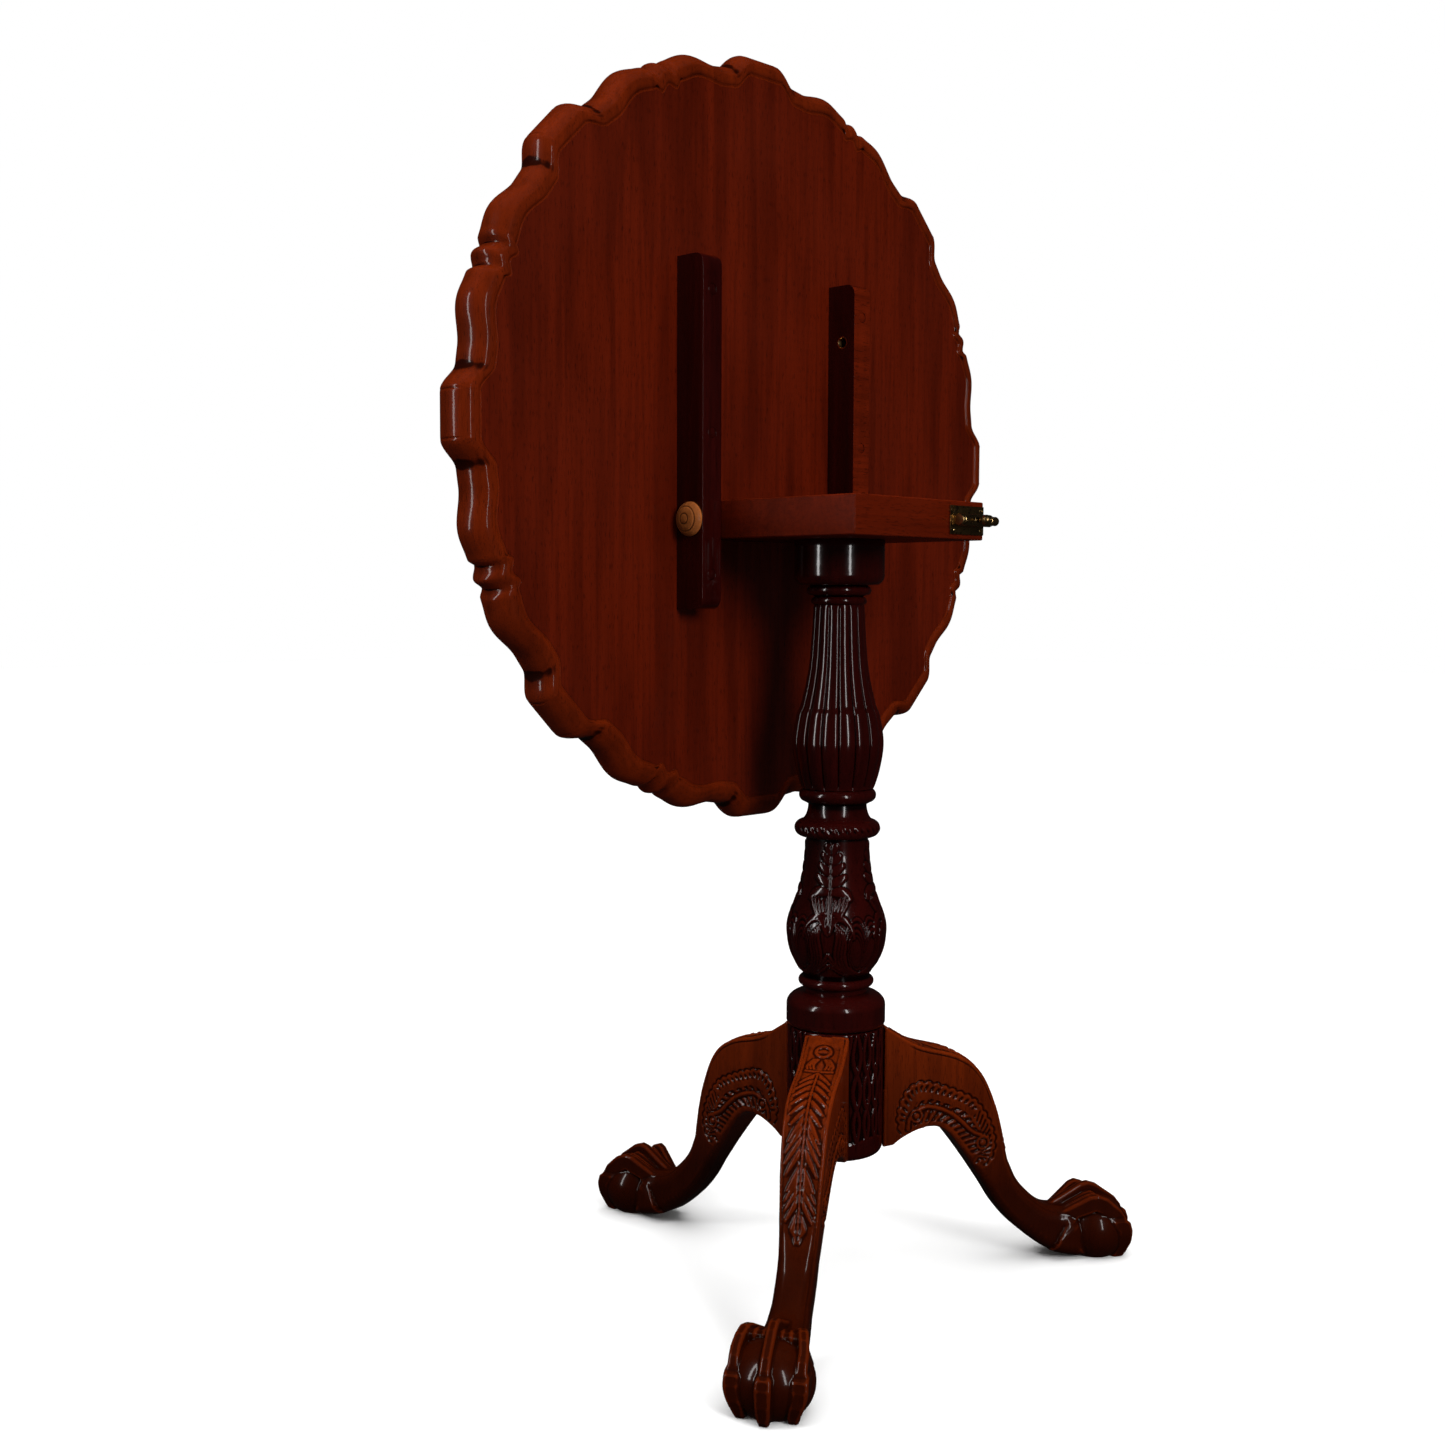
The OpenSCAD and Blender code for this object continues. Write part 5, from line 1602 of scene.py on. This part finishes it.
def surface_of(field, start, step):
    """Points and faces of the surface where a field on a grid is 0, inside below 0."""
    inside = field < 0
    nx, ny, nz = field.shape
    corner = [(i, j, k) for i in (0, 1) for j in (0, 1) for k in (0, 1)]
    count = np.zeros((nx - 1, ny - 1, nz - 1), np.int8)
    for i, j, k in corner:
        count += inside[i:nx - 1 + i, j:ny - 1 + j, k:nz - 1 + k]
    cells = np.argwhere((count > 0) & (count < 8))
    number = np.full(count.shape, -1, np.int64)
    number[tuple(cells.T)] = np.arange(len(cells))
    total = np.zeros((len(cells), 3))
    hits = np.zeros(len(cells))
    for a in corner:
        for axis in range(3):
            if a[axis]:
                continue
            b = list(a)
            b[axis] = 1
            fa = field[tuple((cells + a).T)]
            fb = field[tuple((cells + b).T)]
            crossed = (fa < 0) != (fb < 0)
            t = np.where(crossed, fa / np.where(crossed, fa - fb, 1), 0)
            spot = np.array(a, float) + t[:, None] * np.eye(3)[axis]
            total += spot * crossed[:, None]
            hits += crossed
    points = (cells + total / hits[:, None]) * step + start
    quads = []
    for axis in range(3):
        lo = [slice(1, None)] * 3
        lo[axis] = slice(0, -1)
        hi = [slice(1, None)] * 3
        hi[axis] = slice(1, None)
        first, second = inside[tuple(lo)], inside[tuple(hi)]
        keep = np.argwhere(first != second) + 1
        keep[:, axis] -= 1
        keep = keep[np.all(keep < np.array(count.shape), axis=1)]
        out = inside[tuple(keep.T)]
        u, v = [k for k in range(3) if k != axis]
        du, dv = np.eye(3, dtype=int)[u], np.eye(3, dtype=int)[v]
        ring = [keep - du - dv, keep - dv, keep, keep - du]
        ids = np.stack([number[tuple(q.T)] for q in ring], axis=1)
        flip = out if axis != 1 else ~out
        ids[~flip] = ids[~flip][:, ::-1]
        quads.append(ids)
    return points, np.vstack(quads)


def carved_legs(sizes):
    """Three cabriole legs with leaf-carved knees, shell-carved arches and talons on balls."""
    step = mm(sizes.grid)
    r = np.arange(mm(sizes.stance) - 228.0, mm(sizes.stance) + 44.0, step)
    y = np.arange(-42, 42 + step, step)
    y = y - (y[0] + y[-1]) / 2
    z = np.arange(-2 * step, 236.0, step)
    field = leg_field(r, y, z, sizes)
    points, quads = surface_of(field, np.array([r[0], y[0], z[0]]), step)
    for name, node, azimuth in LEG_AZIMUTHS:
        a = math.radians(azimuth)
        out = np.array([math.sin(a), -math.cos(a), 0])
        across = np.array([math.cos(a), math.sin(a), 0])
        placed = (points[:, :1] * out + points[:, 1:2] * across + points[:, 2:] * [0, 0, 1])
        leg = piece_from(name, mesh_from_quads(name, placed, quads))
        mark_relief(shade(leg, 70), 7, 0.22)
        finish_piece(leg, finish("carved"), "mahogany_carved", node)


# ------------------------------------------------------------------ iron plate


SCREWS_PAST_TIP_CENTRE = 3.0


def iron_spider():
    """Three-armed iron plate under the pillar, with rounded arm ends and edges."""
    low, high = P.iron_low, P.iron_high
    arm_w, hub = 16.0, 21.5
    reach = high[1] - arm_w / 2
    half = arm_w / 2
    join = math.sqrt(hub**2 - half**2)
    azimuths = [azimuth for _, _, azimuth in LEG_AZIMUTHS]
    outline = []
    for azimuth in azimuths:
        a = math.radians(azimuth)
        out = np.array([math.sin(a), -math.cos(a)])
        across = np.array([math.cos(a), math.sin(a)])
        tip = [reach * out + half * (across * math.sin(t) + out * math.cos(t))
               for t in np.radians(np.arange(-90, 91, 15))]
        outline += [join * out - half * across] + tip + [join * out + half * across]
        for t in (azimuth + 42, azimuth + 60, azimuth + 78):
            b = math.radians(t)
            outline.append(hub * np.array([math.sin(b), -math.cos(b)]))
    plate = slab("iron_spider", outline, low[2], high[2], "z")
    bevelled(plate, 0.5, 2, 50)
    finish_piece(shade(plate, 40), finish("iron"), "blackened_iron", "base_plate")
    low, high = node_box("base_plate_screws")
    at = reach + SCREWS_PAST_TIP_CENTRE
    spots = [(0, 0, low[2] - 0.15)]
    spots += [(at * math.sin(math.radians(a)), -at * math.cos(math.radians(a)), low[2] - 0.15)
              for a in azimuths]
    unit = wood_screw_unit("Plate screw", 2.0, high[2] - low[2], 4.2, (0, 0, 1))
    screws = shade(copies_at("spider_screws", spots, unit, finish("steel"), 0.8))
    finish_piece(screws, finish("steel"), "steel", "base_plate_screws")


# ------------------------------------------------------------------ stage


FLOOR_HALF = 14.0
SURROUND_LIT, SURROUND_MIRRORED = 0.22, 0.008
OVERHEAD_SPREAD, BOX_SPREAD = math.radians(75), math.radians(100)
FILL_SHARE = 0.5


def studio(stage):
    """Camera at the viewing angle, pale floor, white surround and soft boxes."""
    scene = bpy.context.scene
    azimuth = stage.camera_azimuth
    spot = Vector((math.sin(azimuth) * stage.camera_distance,
                   -math.cos(azimuth) * stage.camera_distance, stage.camera_height))
    turn = azimuth + stage.camera_yaw
    ahead = Vector((-math.sin(turn) * math.cos(stage.camera_pitch),
                    math.cos(turn) * math.cos(stage.camera_pitch), math.sin(stage.camera_pitch)))
    right = ahead.cross(Vector((0, 0, 1))).normalized()
    up = right.cross(ahead)
    c, s = math.cos(stage.camera_roll), math.sin(stage.camera_roll)
    side, top = c * right + s * up, c * up - s * right
    camera = bpy.data.objects.new("Camera", bpy.data.cameras.new("Camera"))
    camera.data.lens = stage.lens
    camera.data.sensor_width = 36.0
    camera.matrix_world = Matrix(((side.x, top.x, -ahead.x, spot.x),
                                  (side.y, top.y, -ahead.y, spot.y),
                                  (side.z, top.z, -ahead.z, spot.z), (0, 0, 0, 1)))
    scene.collection.objects.link(camera)
    scene.camera = camera
    scene.view_settings.view_transform = "Standard"

    half = FLOOR_HALF
    mesh = bpy.data.meshes.new("Floor")
    mesh.from_pydata([(-half, -half, 0), (half, -half, 0), (half, half, 0), (-half, half, 0)],
                     [], [(0, 1, 2, 3)])
    floor = piece_from("Floor", mesh)
    mesh.materials.append(floor_paint("Studio floor", tuple(stage.floor_colour)))
    floor.visible_glossy = False
    floor.visible_diffuse = False

    world = bpy.data.worlds.new("Surround")
    world.use_nodes = True
    tree = world.node_tree
    tree.nodes.clear()
    path = add(tree, "ShaderNodeLightPath")
    seen = add(tree, "ShaderNodeBackground", {"Color": (1, 1, 1, 1), "Strength": 1.0})
    lit = add(tree, "ShaderNodeBackground", {"Color": (1, 0.99, 0.97, 1), "Strength": SURROUND_LIT})
    shiny = add(tree, "ShaderNodeBackground",
                {"Color": (1, 0.97, 0.94, 1), "Strength": SURROUND_MIRRORED})
    mirrored = add(tree, "ShaderNodeMixShader", {0: path.outputs["Is Glossy Ray"],
                                                 1: lit.outputs[0], 2: shiny.outputs[0]})
    mixed = add(tree, "ShaderNodeMixShader", {0: path.outputs["Is Camera Ray"],
                                              1: mirrored.outputs[0], 2: seen.outputs[0]})
    out = tree.nodes.new("ShaderNodeOutputWorld")
    tree.links.new(mixed.outputs[0], out.inputs["Surface"])
    scene.world = world

    sky = bpy.data.lights.new("Overhead", "SUN")
    sky.energy, sky.angle = stage.top_power, OVERHEAD_SPREAD
    lamp = bpy.data.objects.new("Overhead", sky)
    lamp.visible_glossy = False
    scene.collection.objects.link(lamp)
    # name, azimuth, distance, height, width, height of the box, aim, power, seen in the polish
    boxes = [("Left strip", azimuth - math.radians(54), 2.1, 1.15, 0.22, 1.7, 0.6,
              stage.strip_power, True),
             ("Right strip", azimuth + math.radians(27), 2.5, 1.15, 0.22, 1.7, 0.6,
              stage.strip_power, True),
             ("Key", azimuth + math.radians(36), 2.2, 1.45, 0.9, 0.9, 0.75, stage.key_power, False),
             ("Fill", azimuth - math.radians(62), 1.9, 1.75, 0.8, 0.8, 0.9,
              FILL_SHARE * stage.key_power, False)]
    for name, around, away, height, wide, tall, aim_at, power, polished in boxes:
        light = bpy.data.lights.new(name, "AREA")
        light.shape = "RECTANGLE"
        light.size, light.size_y = wide, tall
        light.energy = power
        light.spread = math.pi if polished else BOX_SPREAD
        lamp = bpy.data.objects.new(name, light)
        lamp.visible_glossy, lamp.visible_diffuse = polished, not polished
        lamp.location = (math.sin(around) * away, -math.cos(around) * away, height)
        aim = Vector((0, 0, aim_at)) - lamp.location
        lamp.rotation_euler = aim.to_track_quat("-Z", "Y").to_euler()
        scene.collection.objects.link(lamp)


# ------------------------------------------------------------------ operators


class TABLE_OT_top(bpy.types.Operator):
    """Make the flat panel and the scalloped, moulded edge round it"""

    bl_idname = "tripod_table.top"
    bl_label = "Top and pie-crust edge"

    def execute(self, context):
        sizes = context.scene.table_top_sizes
        panel_board(sizes)
        crust_edge(sizes)
        return {"FINISHED"}


class TABLE_OT_battens(bpy.types.Operator):
    """Make the two battens with their screws, plugs and keeper ring"""

    bl_idname = "tripod_table.battens"
    bl_label = "Battens"

    def execute(self, context):
        batten_bar("left_batten_bar", -1, "batten_left")
        batten_bar("right_batten_bar", 1, "batten_right")
        batten_fixings()
        keeper_bush()
        return {"FINISHED"}


class TABLE_OT_hinge(bpy.types.Operator):
    """Make the block, the tenon's wedge and the two turned hinge pins"""

    bl_idname = "tripod_table.hinge"
    bl_label = "Block and hinge pins"

    def execute(self, context):
        hinge_block()
        tenon_wedge_piece()
        turned_pin("left_turned_pin", -1, "hinge_pin_left")
        turned_pin("right_turned_pin", 1, "hinge_pin_right")
        return {"FINISHED"}


class TABLE_OT_latch(bpy.types.Operator):
    """Make the brass spring latch: plate, screws, barrel, bolt, knob and spring"""

    bl_idname = "tripod_table.latch"
    bl_label = "Brass latch"

    def execute(self, context):
        lock_plate()
        lock_screws()
        lock_barrel()
        lock_bolt()
        lock_knob()
        lock_spring()
        return {"FINISHED"}


class TABLE_OT_pillar(bpy.types.Operator):
    """Make the turned pillar: base, carved urn and reeded column"""

    bl_idname = "tripod_table.pillar"
    bl_label = "Pillar"

    def execute(self, context):
        sizes = context.scene.table_pillar_sizes
        pillar_base(sizes)
        carved_urn(sizes)
        reeded_column(sizes)
        return {"FINISHED"}


class TABLE_OT_legs(bpy.types.Operator):
    """Make the three carved cabriole legs"""

    bl_idname = "tripod_table.legs"
    bl_label = "Carved legs"

    def execute(self, context):
        carved_legs(context.scene.table_leg_sizes)
        return {"FINISHED"}


class TABLE_OT_iron(bpy.types.Operator):
    """Make the iron plate under the pillar and its screws"""

    bl_idname = "tripod_table.iron"
    bl_label = "Iron plate"

    def execute(self, context):
        iron_spider()
        return {"FINISHED"}


class TABLE_OT_stage(bpy.types.Operator):
    """Make the camera, the lights, the surround and the floor"""

    bl_idname = "tripod_table.stage"
    bl_label = "Studio"

    def execute(self, context):
        studio(context.scene.table_stage)
        return {"FINISHED"}


STEPS = [TABLE_OT_stage, TABLE_OT_top, TABLE_OT_battens, TABLE_OT_hinge, TABLE_OT_latch,
         TABLE_OT_pillar, TABLE_OT_legs, TABLE_OT_iron]


class TABLE_PT_panel(bpy.types.Panel):
    """Sidebar panel with the table's steps and settings"""

    bl_label = "Tripod table"
    bl_idname = "TABLE_PT_panel"
    bl_space_type = "VIEW_3D"
    bl_region_type = "UI"
    bl_category = "Tripod table"

    def draw(self, context):
        for step in STEPS:
            self.layout.operator(step.bl_idname)
        for key in GROUPS:
            box = self.layout.box()
            group = getattr(context.scene, key)
            for prop in group.bl_rna.properties:
                if prop.identifier not in ("rna_type", "name"):
                    box.prop(group, prop.identifier)


GROUPS = {"table_top_sizes": TableTopSizes, "table_pillar_sizes": TablePillarSizes,
          "table_leg_sizes": TableLegSizes, "table_finishes": TableFinishes,
          "table_stage": TableStage}


def register():
    """Adds the settings, the operators and the panel."""
    for key, group in GROUPS.items():
        bpy.utils.register_class(group)
        setattr(bpy.types.Scene, key, bpy.props.PointerProperty(type=group))
    for step in STEPS:
        bpy.utils.register_class(step)
    bpy.utils.register_class(TABLE_PT_panel)


def unregister():
    """Takes away what register added."""
    bpy.utils.unregister_class(TABLE_PT_panel)
    for step in reversed(STEPS):
        bpy.utils.unregister_class(step)
    for key, group in reversed(GROUPS.items()):
        delattr(bpy.types.Scene, key)
        bpy.utils.unregister_class(group)


def main():
    register()
    for step in STEPS:
        group, name = step.bl_idname.split(".")
        getattr(getattr(bpy.ops, group), name)()


if __name__ == "__main__":
    main()
